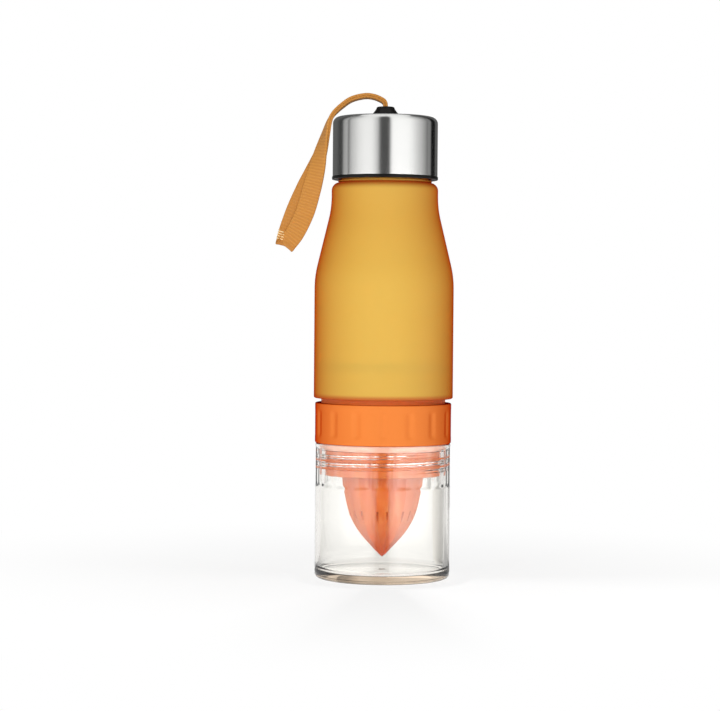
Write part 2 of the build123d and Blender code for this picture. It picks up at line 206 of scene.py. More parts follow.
def soft_box(name, place, target, size, watts):
    """A square lamp at place, facing target, hidden from mirror reflections."""
    lamp = bpy.data.lights.new(name, "AREA")
    lamp.size = size
    lamp.energy = watts
    box = bpy.data.objects.new(name, lamp)
    bpy.context.scene.collection.objects.link(box)
    facing = (Vector(target) - Vector(place)).to_track_quat("-Z", "Y")
    box.matrix_world = Matrix.Translation(place) @ facing.to_matrix().to_4x4()
    box.visible_glossy = False


soft_box("soft_box_right", (0.27, -1.0, 0.42), MIDDLE, size=0.6, watts=3.2)
soft_box("soft_box_left", (-0.42, -0.94, 0.36), MIDDLE, size=0.6, watts=5.1)
soft_box("soft_box_top", (0.1, 0.15, 1.0), (0, 0, 0.1), size=0.8, watts=2.4)
soft_box("soft_box_back", (-0.3, 0.9, 0.5), MIDDLE, size=0.6, watts=0.7)
print("World and four soft boxes")

# %% [markdown]
# The floor is a sheet of white card. Far from the bottle it melts into the white
# backdrop, and near it keeps a faint shadow and a faint mirror image. A glow that
# grows with the distance from the bottle does both.

# %% Floor
FLOOR_DROP = 0.0003
FLOOR_HALF = 4.0
CARD_WHITE = (0.93, 0.93, 0.92)
GLOW_NEAR = 0.82
floor_mesh = bpy.data.meshes.new("floor")
floor_corners = [
    (x * FLOOR_HALF, y * FLOOR_HALF, -FLOOR_DROP) for x, y in ((-1, -1), (1, -1), (1, 1), (-1, 1))
]
floor_mesh.from_pydata(floor_corners, [], [(0, 1, 2, 3)])
floor = bpy.data.objects.new("floor", floor_mesh)
bpy.context.scene.collection.objects.link(floor)
card, tree, shader, place = new_material("white_card")
fill(shader, Base_Color=CARD_WHITE, Roughness=0.35)
glow = node(tree, "ShaderNodeEmission")
fade = ranged(tree, distance_out(tree, place), 0.05, 0.30, start=GLOW_NEAR, soft=True)
blend_in = node(tree, "ShaderNodeMixShader")
for slot, value in zip(blend_in.inputs, (fade, shader.outputs[0], glow.outputs[0])):
    give(slot, value)
fill(tree.nodes["Material Output"], Surface=blend_in.outputs[0])
dress(floor, card)

# %% [markdown]
# ## Grids of points become surfaces
#
# Almost every piece of a bottle is turned: a profile carried round the axis. The
# profile is a line of (radius, height) points. Carried round many angles it makes a
# grid of points, rows along the profile by columns round the axis, and the four
# neighbours of each cell make one face. A spin tool would do the same for plain
# rings. A grid also lets threads, flutes and panels push the points in and out.

# %% Faces of a grid
def add_mesh(name, points, faces, sharp=32):
    """Object from points in millimetres and lists of faces; unused points are dropped.
    Where two faces meet at more than sharp degrees, the edge between them looks sharp."""
    points = points.reshape(-1, 3)
    used = np.unique(np.concatenate([part.ravel() for part in faces]))
    place = np.zeros(len(points), int)
    place[used] = np.arange(len(used))
    face_list = []
    for part in faces:
        face_list += place[part].tolist()
    mesh = bpy.data.meshes.new(name)
    mesh.from_pydata((points[used] * MM).tolist(), [], face_list)
    mesh.shade_smooth()
    mesh.set_sharp_from_angle(angle=radians(sharp))
    piece = bpy.data.objects.new(name, mesh)
    bpy.context.scene.collection.objects.link(piece)
    print(name, len(mesh.vertices), "points,", len(mesh.polygons), "faces")
    return piece


def numbered(grid):
    """The number of each point of a grid, row after row."""
    return np.arange(grid.shape[0] * grid.shape[1]).reshape(grid.shape[:2])


def grid_faces(number, closed_rows=False):
    """Four-sided faces between neighbours of a grid of point numbers; columns wrap round."""
    low = number if closed_rows else number[:-1]
    high = np.roll(number, -1, axis=0) if closed_rows else number[1:]
    return np.stack([low, np.roll(low, -1, 1), np.roll(high, -1, 1), high], axis=-1)


def closed_faces(number):
    """Faces of a grid that closes both ways, like a ring, in one list."""
    return [grid_faces(number, closed_rows=True).reshape(-1, 4)]


def capped_faces(number, keep=None):
    """Faces of a grid whose first and last rows have shrunk to one point on the axis.
    Cells where keep is false are left open."""
    quads = grid_faces(number)
    if keep is not None:
        quads = np.where(keep[..., None], quads, -1)
    body = quads[1:-1].reshape(-1, 4)
    low_pole = np.full(number.shape[1], number[0, 0])
    high_pole = np.full(number.shape[1], number[-1, 0])
    return [
        body[body[:, 0] >= 0],
        np.stack([low_pole, np.roll(number[1], -1), number[1]], axis=-1),
        np.stack([number[-2], np.roll(number[-2], -1), high_pole], axis=-1),
    ]


print("Face helpers ready")


# %% Turned pieces
def ring_angles(columns):
    """Equal angles once round, without repeating the first."""
    return tau * np.arange(columns) / columns


def turned_points(radius, height, angle):
    """Grid of points: radius and height are rows by columns, angle is one per column."""
    radius, height, angle = np.broadcast_arrays(radius, height, angle)
    return np.stack([radius * np.cos(angle), radius * np.sin(angle), height], axis=-1)


def carried_round(outline, columns):
    """Grids of radius and height for a profile, and the angle of each column."""
    radius = np.repeat(outline[:, :1], columns, axis=1)
    height = np.repeat(outline[:, 1:], columns, axis=1)
    return radius, height, ring_angles(columns)


def add_turned(name, radius, height, angles, capped=False, sharp=32):
    """Turned piece. Its profile is a closed loop or, if capped, ends in two poles."""
    points = turned_points(radius, height, angles)
    faces = capped_faces(numbered(points)) if capped else closed_faces(numbered(points))
    return add_mesh(name, points, faces, sharp)


def near(value, target):
    """Where a value is within a hundredth of a millimetre of a target."""
    return np.abs(value - target) < 0.01


def pushed(radius, wall, amount):
    """The radii, with those that lie on a wall of one radius moved out by an amount."""
    return radius + np.where(near(radius, wall), amount, 0)


def smooth(value):
    """Smooth step from 0 to 1 as value goes from 0 to 1."""
    value = np.clip(value, 0, 1)
    return value * value * (3 - 2 * value)


def faded_ends(value, low, high, low_run, high_run):
    """0 below low and above high, 1 between them, with a soft run inside each end."""
    return smooth((value - low) / low_run) * smooth((high - value) / high_run)


def off_centre(angle, count):
    """Angle from the nearest of count directions, equally spaced round the axis."""
    pitch = tau / count
    return np.mod(angle + pitch / 2, pitch) - pitch / 2


print("Turning helpers ready")


# %% Profiles
def rounded(corners, closed=False, arc_parts=5):
    """Profile through (r, z, round) corners: each corner with a round becomes an arc that
    is tangent to both of its sides, with its centre on the line that halves the corner."""
    corners = np.array(corners, float)
    points = []
    count = len(corners)
    for index, (r, z, size) in enumerate(corners):
        here = np.array([r, z])
        if size <= 0 or (not closed and index in (0, count - 1)):
            points.append(here)
            continue
        before = corners[index - 1, :2] - here
        after = corners[(index + 1) % count, :2] - here
        before /= np.linalg.norm(before)
        after /= np.linalg.norm(after)
        half = np.arccos(np.clip(before @ after, -1, 1)) / 2
        middle = (before + after) / np.linalg.norm(before + after)
        centre = here + middle * size / sin(half)
        start = here + before * size / tan(half) - centre
        end = here + after * size / tan(half) - centre
        for share in np.linspace(0, 1, arc_parts + 1):
            spoke = start * (1 - share) + end * share
            points.append(centre + spoke / np.linalg.norm(spoke) * size)
    return np.array(points)


def divided(profile, step, closed=False, fine=()):
    """The same profile with its long runs cut into equal parts no longer than step, or
    than a shorter step where both ends lie in a (low z, high z, step) band of fine."""
    ends = np.roll(profile, -1, axis=0) if closed else profile[1:]
    starts = profile if closed else profile[:-1]
    parts = []
    for start, end in zip(starts, ends):
        limit = step
        for low, high, fine_step in fine:
            if low - 1e-6 <= min(start[1], end[1]) and max(start[1], end[1]) <= high + 1e-6:
                limit = fine_step
        count = max(1, int(np.ceil(np.linalg.norm(end - start) / limit)))
        share = np.arange(count)[:, None] / count
        parts.append(start + (end - start) * share)
    if not closed:
        parts.append(profile[-1:])
    return np.concatenate(parts)


def refined(profile, wall, low, high, step):
    """The profile with its run up a straight wall, between two heights, cut finer."""
    rows = near(profile[:, 0], wall) & (profile[:, 1] > low) & (profile[:, 1] < high)
    first, last = np.flatnonzero(rows)[[0, -1]]
    heights = np.linspace(low, high, int(np.ceil((high - low) / step)) + 1)
    if profile[first, 1] > profile[last, 1]:
        heights = heights[::-1]
    run = np.stack([np.full(len(heights), wall), heights], axis=-1)
    return np.concatenate([profile[:first], run, profile[last + 1:]])


print("Profile helpers ready")

# %% [markdown]
# ## The screw thread
#
# All three joints of the bottle use the same coarse, rounded, right-handed thread,
# 4 mm a turn. On a grid it is one formula. A point's phase is its height in leads
# minus its angle in turns, so lines of equal phase climb to the right. Where the
# phase is near a whole number the wall is pushed out, and between them it is left.
# The ridge fades at both ends by the height of its own crest, so it starts and
# stops at an angle, as a moulded thread does.

# %% Thread formula
LEAD = 4.0
THREAD_START = 3.2
THREAD_HEIGHT = 1.05
CREST_SHARE = 0.08
FLANK_SHARE = 0.17
FADE_RUN = 0.25 * LEAD


def thread(angle, height, low, high, between=False):
    """Share of the ridge's height, 0 to 1, at each angle and height between two crest
    heights; between shifts it half a lead, into the gaps of the thread that it meets."""
    first = THREAD_START + (LEAD / 2 if between else 0)
    turns = np.mod(angle, tau) / tau
    phase = (height - first) / LEAD - turns
    nearest = np.round(phase)
    ridge = smooth((CREST_SHARE + FLANK_SHARE - np.abs(phase - nearest)) / FLANK_SHARE)
    crest_height = first + LEAD * (nearest + turns)
    return ridge * faded_ends(crest_height, low, high, FADE_RUN, FADE_RUN)


print("Thread lead", LEAD, "mm")

# %% [markdown]
# ## Sizes shared with the CAD
#
# Millimetres, read from the frame's own boxes where a box gives them, so that each
# new surface sits exactly where its CAD solid does.

# %% Shared sizes
def top(name):
    """Highest point of a CAD node in millimetres."""
    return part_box(name)[1].z / MM


def bottom(name):
    """Lowest point of a CAD node in millimetres."""
    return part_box(name)[0].z / MM


def half_width(name):
    """Largest distance of a CAD node along Y in millimetres, its radius if it is turned."""
    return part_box(name)[1].y / MM


cup_radius, cup_height = half_width("base_cup"), top("base_cup")
press_tip_z, press_top_z = bottom("juicer_press"), top("juicer_press")
collar_radius = half_width("grip_collar")
collar_low_z, collar_top_z = bottom("grip_collar"), top("grip_collar")
body_radius = half_width("bottle_body")
body_z, neck_top_z = bottom("bottle_body"), top("bottle_body")
liner_rim_radius, lid_z = half_width("lid_liner"), bottom("lid_liner")
shell_radius = half_width("lid_shell")
shell_z, lid_top_z = bottom("lid_shell"), top("lid_shell")
knob_top_z = top("strap_grommet")
print("Cup", cup_radius, cup_height, "body", body_radius, body_z, "to", neck_top_z)
print("Lid", shell_radius, shell_z, "to", lid_top_z, "knob", knob_top_z)

# %% [markdown]
# ## Clear cup
#
# A thick tumbler of clear plastic. Its foot and inner corner are rounded, its floor
# carries the small nib of the moulding gate, its upper band has twenty flat gripping
# panels outside and a thread inside, and its rim has a pocket for a sealing ring.
# One closed profile makes both walls, because glass needs a real thickness to bend
# the light. The panels are flats: inside a panel the radius is the distance of a
# flat plane along that angle.

# %% Cup profile
CUP_WALL = 2.5
CUP_FLOOR = 4.0
FOOT_ROUND = 2.2
NIB_RADIUS = 1.6
NIB_TOP = CUP_FLOOR + 0.4
POCKET_Z = cup_height - 3.0
POCKET_RADIUS = cup_radius - 1.8
PANEL_LOW, PANEL_HIGH = 48.5, 67.5
PANEL_ZONE = (PANEL_LOW - 1.6, PANEL_HIGH + 0.8)
PANEL_STEP = 0.4
CUP_THREAD_ZONE = (54.0, 66.2)
CUP_THREAD_STEP = 0.14
cup_bore = cup_radius - CUP_WALL
cup_outline = rounded([
    (0, 0, 0), (cup_radius, 0, FOOT_ROUND), (cup_radius, cup_height, 0.5),
    (POCKET_RADIUS, cup_height, 0.3), (POCKET_RADIUS, POCKET_Z, 0.15),
    (cup_bore, POCKET_Z, 0.3), (cup_bore, CUP_FLOOR, 3.0),
    (NIB_RADIUS, CUP_FLOOR, 0.2), (NIB_RADIUS, NIB_TOP, 0.15), (0, NIB_TOP, 0),
], arc_parts=7)
cup_outline = divided(cup_outline, step=2.2)
cup_outline = refined(cup_outline, cup_bore, *CUP_THREAD_ZONE, CUP_THREAD_STEP)
cup_outline = refined(cup_outline, cup_radius, *PANEL_ZONE, PANEL_STEP)
print("Cup profile", len(cup_outline), "points")

# %% Cup surface
CUP_COLUMNS = 320
CUP_THREAD = (56.2, 65.0)
CUP_RIDGE = 0.75
PANEL_COUNT = 20
PANEL_WIDTH = 8.6
PANEL_DEPTH = 0.5
PANEL_LOW_FADE, PANEL_HIGH_FADE, PANEL_SIDE_FADE = 2.4, 0.8, 1.0


def cup_panels(angle, height):
    """How far the wall steps in: a flat plane across each panel, with soft edges."""
    off = off_centre(angle, PANEL_COUNT)
    flat = cup_radius - (cup_radius - PANEL_DEPTH) / np.cos(off)
    side = PANEL_WIDTH / 2 - cup_radius * np.abs(off)
    across = smooth(side / PANEL_SIDE_FADE + 0.5)
    along = faded_ends(
        height, PANEL_LOW - PANEL_LOW_FADE / 2, PANEL_HIGH + PANEL_HIGH_FADE / 2,
        PANEL_LOW_FADE, PANEL_HIGH_FADE,
    )
    return np.clip(flat, 0, None) * across * along


radius, height, angles = carried_round(cup_outline, CUP_COLUMNS)
radius = pushed(radius, cup_radius, -cup_panels(angles, height))
radius = pushed(radius, cup_bore, -CUP_RIDGE * thread(angles, height, *CUP_THREAD, between=True))
cup = add_turned("clear_cup", radius, height, angles, capped=True)
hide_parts("base_cup")
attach(cup, "cup")

# %% [markdown]
# ## Citrus press
#
# One moulding of translucent orange plastic: a hollow reamer with eight broad ribs,
# a strainer plate with slots above it, and a barrel with a thread at each end. The
# reamer's radius follows a curve of shares down its length, and falls between the
# ribs by a shallow hollow. Two skins, an outer and an inner, share the same grid
# through the reamer and the strainer. The slots are cells left out of both skins, and
# short walls join the two skins round each opening.

# %% Reamer of the press
PRESS_COLUMNS = 288
STRAINER_Z = collar_low_z - 16.4
STRAINER_THICKNESS = 2.0
STRAINER_TOP_Z = STRAINER_Z + STRAINER_THICKNESS
REAMER_RADIUS = 21.3
REAMER_WALL = 1.8
REAMER_LENGTH = STRAINER_Z - press_tip_z
HOLLOW_LENGTH = REAMER_LENGTH - 4 * REAMER_WALL + STRAINER_THICKNESS
RIB_COUNT = 8
HOLLOW_SHARE = 0.11
CREST_HALF = radians(8.75)
TIP_RADIUS = 0.9
TIP_BLUNTNESS = 0.55
SLOT_LOW_SHARE, SLOT_HIGH_SHARE = 0.56, 0.42
REAMER_SHARES = np.array([
    (0.0, 1.0), (0.12, 0.972), (0.23, 0.93), (0.35, 0.88), (0.47, 0.815), (0.57, 0.728),
    (0.66, 0.62), (0.74, 0.5), (0.81, 0.375), (0.87, 0.262), (0.92, 0.17), (0.965, 0.085),
    (1.0, 0.0),
])


def reamer_share(down):
    """Radius of the reamer as a share, by the share of its length below the strainer."""
    return np.interp(down, REAMER_SHARES[:, 0], REAMER_SHARES[:, 1])


def rib_form(angle):
    """1 on the broad crest of each rib, less in the hollow between two ribs."""
    off = np.abs(off_centre(angle, RIB_COUNT))
    across = np.clip((off - CREST_HALF) / (tau / RIB_COUNT / 2 - CREST_HALF), 0, 1)
    return 1 - HOLLOW_SHARE * (1 - (1 - across) ** 2)


def all_round(rows):
    """The same values in every column of the press's grid."""
    return np.repeat(rows, PRESS_COLUMNS, axis=1)


reamer_down = np.concatenate([
    np.linspace(1, 0.9, 9)[:-1], np.linspace(0.9, SLOT_LOW_SHARE, 16)[:-1],
    np.linspace(SLOT_LOW_SHARE, SLOT_HIGH_SHARE, 8)[:-1],
    np.linspace(SLOT_HIGH_SHARE, 0, 20),
])[:, None]
form = reamer_share(reamer_down) * rib_form(ring_angles(PRESS_COLUMNS))
soft_tip = np.sqrt(np.clip((1 - reamer_down) * REAMER_LENGTH / TIP_RADIUS, 0, 1))
outer_radius = np.maximum(REAMER_RADIUS * form, TIP_RADIUS * TIP_BLUNTNESS * soft_tip)
outer_radius[0] = 0
outer_height = STRAINER_Z - REAMER_LENGTH * reamer_down
inner_radius = (REAMER_RADIUS - REAMER_WALL) * form
inner_radius[0] = 0
inner_height = STRAINER_TOP_Z - HOLLOW_LENGTH * reamer_down
print("Reamer", REAMER_LENGTH, "mm long,", len(reamer_down), "rows")

# %% Strainer, barrel and spigots
SPIGOT_LOW_RADIUS = 31.5
SPIGOT_TOP_RADIUS = 31.1
PRESS_BORE = 28.4
BARREL_RADIUS = 32.1
FLANGE_RADIUS = 33.6
FLANGE_TOP_Z = collar_low_z + 1.5
BARREL_TOP_Z = body_z + 1.0
PLATE_SLOT = (22.5, 27.2)
PLATE_EDGE = 29.4
PLATE_TAPER = 0.02
LOW_THREAD = (55.2, 65.8)
LOW_RIDGE = 1.2
TOP_THREAD = (body_z + 2.4, press_top_z - 1.6)
plate_radii = np.array([22.0, PLATE_SLOT[0], 24.0, 25.6, PLATE_SLOT[1], 28.0, PLATE_EDGE])[:, None]
plate_inner = np.minimum(plate_radii, PRESS_BORE - PLATE_TAPER * (PLATE_EDGE - plate_radii))
barrel_outline = rounded([
    (PLATE_EDGE, STRAINER_Z, 0), (SPIGOT_LOW_RADIUS, STRAINER_Z, 0.5),
    (SPIGOT_LOW_RADIUS, collar_low_z, 0.2),
    (FLANGE_RADIUS, collar_low_z, 0.25), (FLANGE_RADIUS, FLANGE_TOP_Z, 0.2),
    (BARREL_RADIUS, FLANGE_TOP_Z, 0.2), (BARREL_RADIUS, BARREL_TOP_Z, 0.3),
    (SPIGOT_TOP_RADIUS, BARREL_TOP_Z, 0.2), (SPIGOT_TOP_RADIUS, press_top_z, 0.5),
    (PRESS_BORE, press_top_z, 0.4), (PRESS_BORE, STRAINER_TOP_Z, 0),
], arc_parts=4)[1:-1]
barrel_outline = divided(barrel_outline, step=30.0, fine=[
    (STRAINER_Z, collar_low_z, 0.15), (BARREL_TOP_Z, press_top_z, 0.3),
])
barrel_radius, barrel_height, press_angles = carried_round(barrel_outline, PRESS_COLUMNS)
low_ridge = LOW_RIDGE * thread(press_angles, barrel_height, *LOW_THREAD)
top_ridge = THREAD_HEIGHT * thread(press_angles, barrel_height, *TOP_THREAD)
barrel_radius = pushed(barrel_radius, SPIGOT_LOW_RADIUS, low_ridge)
barrel_radius = pushed(barrel_radius, SPIGOT_TOP_RADIUS, top_ridge)
press_radius = np.concatenate([
    outer_radius, all_round(plate_radii), barrel_radius,
    all_round(plate_inner[::-1]), inner_radius[::-1],
])
press_height = np.concatenate([
    all_round(outer_height), all_round(STRAINER_Z + 0 * plate_radii), barrel_height,
    all_round(STRAINER_TOP_Z + 0 * plate_inner), all_round(inner_height[::-1]),
])
print("Press grid", press_radius.shape)

# %% Press slots and surface
PLATE_SLOT_COUNT = 24
PLATE_SLOT_COLUMNS = (4, 5, 6)
RIB_SLOT_COLUMNS = (5, 6, 7)


def slot_walls(numbers, first, last, gap):
    """Short walls round each opening between two rows where gap is true, from one skin
    to the other: the same rows counted from the far end of the grid."""
    mirror = numbers[::-1]
    across = np.flatnonzero(gap)
    beside = (across + 1) % PRESS_COLUMNS
    left_edge = np.flatnonzero(gap & ~np.roll(gap, 1))
    right_edge = (np.flatnonzero(gap & ~np.roll(gap, -1)) + 1) % PRESS_COLUMNS
    lower, upper = slice(first, last), slice(first + 1, last + 1)
    rings = [
        (numbers[lower][:, edge], numbers[upper][:, edge],
         mirror[upper][:, edge], mirror[lower][:, edge])
        for edge in (left_edge, right_edge)
    ] + [
        (numbers[row, across], numbers[row, beside], mirror[row, beside], mirror[row, across])
        for row in (first, last)
    ]
    walls = []
    for (a, b, c, d), flip in zip(rings, (False, True, True, False)):
        order = (a, d, c, b) if flip else (a, b, c, d)
        walls.append(np.stack(order, axis=-1).reshape(-1, 4))
    return walls


def row_of(share):
    """The row of the reamer nearest to a share of its length."""
    return int(np.argmin(np.abs(reamer_down[:, 0] - share)))


columns = np.arange(PRESS_COLUMNS)
rib_pitch = PRESS_COLUMNS // RIB_COUNT
plate_gap = np.isin(columns % (PRESS_COLUMNS // PLATE_SLOT_COUNT), PLATE_SLOT_COLUMNS)
from_rib = np.minimum(columns % rib_pitch, rib_pitch - 1 - columns % rib_pitch)
rib_gap = np.isin(from_rib, RIB_SLOT_COLUMNS)
first_plate_row = len(reamer_down)
openings = [
    (row_of(SLOT_LOW_SHARE), row_of(SLOT_HIGH_SHARE), rib_gap),
    (first_plate_row + 1, first_plate_row + 4, plate_gap),
]
numbers = numbered(press_radius)
keep = np.ones((len(press_radius) - 1, PRESS_COLUMNS), bool)
walls = []
for first, last, gap in openings:
    for skin in (keep, keep[::-1]):
        skin[first:last][:, gap] = False
    walls += slot_walls(numbers, first, last, gap)
press_points = turned_points(press_radius, press_height, press_angles)
press = add_mesh("citrus_press", press_points, capped_faces(numbers, keep) + walls, sharp=28)
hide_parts("juicer_press")
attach(press, "press")

# %% [markdown]
# ## Grip collar
#
# The opaque ring that one grips to unscrew the press. Sixteen shallow flutes run up its
# side. Each flute is one wave of a cosine across its width, and it fades in and out
# over a short height, so its edges stay soft in the light. The inside has a step that
# the flange of the press sits in.

# %% Collar surface
COLLAR_COLUMNS = 320
FLUTE_COUNT = 16
FLUTE_WIDTH = 6.4
FLUTE_DEPTH = 0.5
FLUTE_MARGIN = 3.0
FLUTE_FADE = 2.0
FIT_GAP = 0.05
step_radius, step_z = FLANGE_RADIUS + FIT_GAP, FLANGE_TOP_Z + FIT_GAP
collar_bore = BARREL_RADIUS + FIT_GAP
collar_outline = rounded([
    (step_radius, collar_low_z, 0.2), (collar_radius, collar_low_z, 0.6),
    (collar_radius, collar_top_z, 0.6), (collar_bore, collar_top_z, 0.4),
    (collar_bore, step_z, 0.1), (step_radius, step_z, 0.1),
], closed=True)
collar_outline = divided(collar_outline, step=0.8, closed=True)
radius, height, angles = carried_round(collar_outline, COLLAR_COLUMNS)
across = collar_radius * off_centre(angles, FLUTE_COUNT) / (FLUTE_WIDTH / 2)
flute = 0.5 + 0.5 * np.cos(pi * np.clip(across, -1, 1))
flute_ends = faded_ends(
    height, collar_low_z + FLUTE_MARGIN, collar_top_z - FLUTE_MARGIN, FLUTE_FADE, FLUTE_FADE,
)
radius = pushed(radius, collar_radius, -FLUTE_DEPTH * flute * flute_ends)
collar = add_turned("fluted_collar", radius, height, angles)
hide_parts("grip_collar")
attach(collar, "press")

# %% [markdown]
# ## Frosted body
#
# A blow moulded shell. Its side is straight, then leans in over a soft bend, and
# straightens again before the tight shoulder. The wall's radius is one function of
# height and inset, so the inside is the same curve moved in by the wall. The neck has
# a carrying bead under a thread, and the wide bottom has an inner thread.

# %% Body wall
BODY_WALL = 2.8
TAPER_Z = body_z + 56.6
TAPER_ANGLE = radians(13.5)
BEND_RADIUS = 52.0
SHOULDER_RADIUS = body_radius - 8.5
NECK_Z = neck_top_z - 13.3
UPPER_Z = NECK_Z - 6.9


def body_wall_radius(height, inset):
    """Radius of the wall: straight, an arc that turns in, a straight lean, an arc that
    turns back upright, and straight again."""
    low_arc, high_arc = BEND_RADIUS - inset, BEND_RADIUS + inset
    low_x, high_x = body_radius - BEND_RADIUS, SHOULDER_RADIUS + BEND_RADIUS
    low_end = TAPER_Z + low_arc * sin(TAPER_ANGLE)
    high_end = UPPER_Z - high_arc * sin(TAPER_ANGLE)
    lean_start = low_x + low_arc * cos(TAPER_ANGLE)
    up = np.clip(height - TAPER_Z, 0, low_arc)
    down = np.clip(UPPER_Z - height, 0, high_arc)
    return np.select(
        [height < TAPER_Z, height < low_end, height < high_end, height < UPPER_Z],
        [
            body_radius - inset + 0 * height,
            low_x + np.sqrt(low_arc ** 2 - up ** 2),
            lean_start - (height - low_end) * tan(TAPER_ANGLE),
            high_x - np.sqrt(high_arc ** 2 - down ** 2),
        ],
        SHOULDER_RADIUS - inset,
    )


def wall_run(low, high, inset, step):
    """Profile points up the wall from low to high, moved in by the inset."""
    heights = np.linspace(low, high, int(np.ceil((high - low) / step)) + 1)
    return np.stack([body_wall_radius(heights, inset), heights], axis=-1)


print("Body wall", BODY_WALL, "mm thick, leaning in from", TAPER_Z)

# %% Body surface
BODY_COLUMNS = 256
BODY_BORE = 32.6
BODY_THREAD = (body_z + 2.2, press_top_z - 0.6)
LEDGE_RADIUS = 29.8
LEDGE_Z = press_top_z + 2.3
LEDGE_TOP_Z = LEDGE_Z + 1.6
NECK_RADIUS = 22.6
NECK_BORE = NECK_RADIUS - 2.2
NECK_FOOT_RADIUS = 23.2
BEAD_RADIUS = 24.2
BEAD_Z = NECK_Z + 0.3
BEAD_TOP_Z = BEAD_Z + 0.8
NECK_THREAD = (BEAD_Z + 3.2, neck_top_z - 1.8)
room_radius = body_radius - BODY_WALL
room_top_z = NECK_Z - BODY_WALL
shoulder_inner = SHOULDER_RADIUS - BODY_WALL
cone_top_z = LEDGE_TOP_Z + room_radius - LEDGE_RADIUS
shoulder = rounded([
    (SHOULDER_RADIUS, UPPER_Z, 0), (SHOULDER_RADIUS, NECK_Z, 4.0),
    (NECK_FOOT_RADIUS, NECK_Z, 0.1), (NECK_FOOT_RADIUS, BEAD_Z, 0.1),
    (BEAD_RADIUS, BEAD_Z, 0.3), (BEAD_RADIUS, BEAD_TOP_Z, 0.3),
    (NECK_RADIUS, BEAD_TOP_Z, 0.2), (NECK_RADIUS, neck_top_z, 0.4),
    (NECK_BORE, neck_top_z, 0.4), (NECK_BORE, room_top_z, 0.5),
    (shoulder_inner, room_top_z, 1.2), (shoulder_inner, UPPER_Z - 1.0, 0),
], arc_parts=6)
mouth = rounded([
    (room_radius, cone_top_z + 1.5, 0), (room_radius, cone_top_z, 0.4),
    (LEDGE_RADIUS, LEDGE_TOP_Z, 0.3), (LEDGE_RADIUS, LEDGE_Z, 0.3), (BODY_BORE, LEDGE_Z, 0.2),
    (BODY_BORE, body_z, 0.4), (body_radius, body_z, 0.8), (body_radius, body_z + 2.0, 0),
], arc_parts=5)
body_outline = np.concatenate([
    wall_run(body_z + 3.0, UPPER_Z - 1.0, inset=0, step=1.8),
    divided(shoulder, step=2.0, fine=[(BEAD_TOP_Z, neck_top_z, 0.2)]),
    wall_run(cone_top_z + 3.0, UPPER_Z - 2.5, inset=BODY_WALL, step=2.4)[::-1],
    divided(mouth, step=2.0, fine=[(body_z + 0.5, LEDGE_Z, 0.4)]),
])
radius, height, angles = carried_round(body_outline, BODY_COLUMNS)
neck_ridge = THREAD_HEIGHT * thread(angles, height, *NECK_THREAD)
bore_ridge = THREAD_HEIGHT * thread(angles, height, *BODY_THREAD, between=True)
radius = pushed(radius, NECK_RADIUS, neck_ridge)
radius = pushed(radius, BODY_BORE, -bore_ridge)
body = add_turned("frosted_body", radius, height, angles)
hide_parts("bottle_body")
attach(body, "bottle")

# %% [markdown]
# ## Lid: black liner and drawn steel shell
#
# The liner is a black moulding with the thread inside, a web that closes the neck,
# and a rim that shows as a dark line under the steel. The shell is a cup of thin
# steel drawn over it, with a soft top edge. Both are turned profiles. The hole for
# the strap's knob is a stadium, so the inner rows of the shell's top change from that
# shape to a circle.

# %% Liner surface
LINER_COLUMNS = 224
LINER_BORE = 24.1
LINER_RADIUS = 26.3
LINER_TOP_Z = lid_top_z - 3.3
WEB_Z = neck_top_z + 2.3
WEB_TOP_Z = WEB_Z + 2.0
PLUG_RADIUS = 19.9
PLUG_BORE = PLUG_RADIUS - 1.5
PLUG_Z = WEB_Z - 3.0
LINER_THREAD = (lid_z + 2.4, WEB_Z - 3.0)
liner_outline = rounded([
    (0, WEB_Z, 0), (PLUG_BORE, WEB_Z, 0.3), (PLUG_BORE, PLUG_Z, 0.4),
    (PLUG_RADIUS, PLUG_Z, 0.4), (PLUG_RADIUS, WEB_Z, 0.3), (LINER_BORE, WEB_Z, 0.3),
    (LINER_BORE, lid_z, 0.4), (liner_rim_radius, lid_z, 0.4), (liner_rim_radius, shell_z, 0.15),
    (LINER_RADIUS, shell_z, 0.1), (LINER_RADIUS, LINER_TOP_Z, 0.4),
    (LINER_BORE, LINER_TOP_Z, 0.4), (LINER_BORE, WEB_TOP_Z, 0.3), (0, WEB_TOP_Z, 0),
], arc_parts=4)
liner_outline = divided(liner_outline, step=6.0, fine=[(lid_z + 0.5, WEB_Z - 0.2, 0.4)])
radius, height, angles = carried_round(liner_outline, LINER_COLUMNS)
liner_ridge = THREAD_HEIGHT * thread(angles, height, *LINER_THREAD, between=True)
radius = pushed(radius, LINER_BORE, -liner_ridge)
liner = add_turned("lid_insert", radius, height, angles, capped=True)
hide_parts("lid_liner")
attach(liner, "lid")

# %% Steel shell surface
SHELL_COLUMNS = 256
SHELL_WALL = 0.7
SHELL_CORNER = 3.3
HOLE_HALF_WIDTH = 3.2
HOLE_HALF_LENGTH = 6.5
BLEND_RADIUS = 11.0


def stadium_radius(angle, half_width, half_length):
    """Distance from the axis to a stadium's edge along an angle; it is longest along Y."""
    across, along = np.abs(np.cos(angle)), np.abs(np.sin(angle))
    straight = half_width / np.maximum(across, 1e-9)
    offset = half_length - half_width
    end = offset * along + np.sqrt(np.clip(half_width ** 2 - (offset * across) ** 2, 0, None))
    return np.where(straight * along <= offset, straight, end)


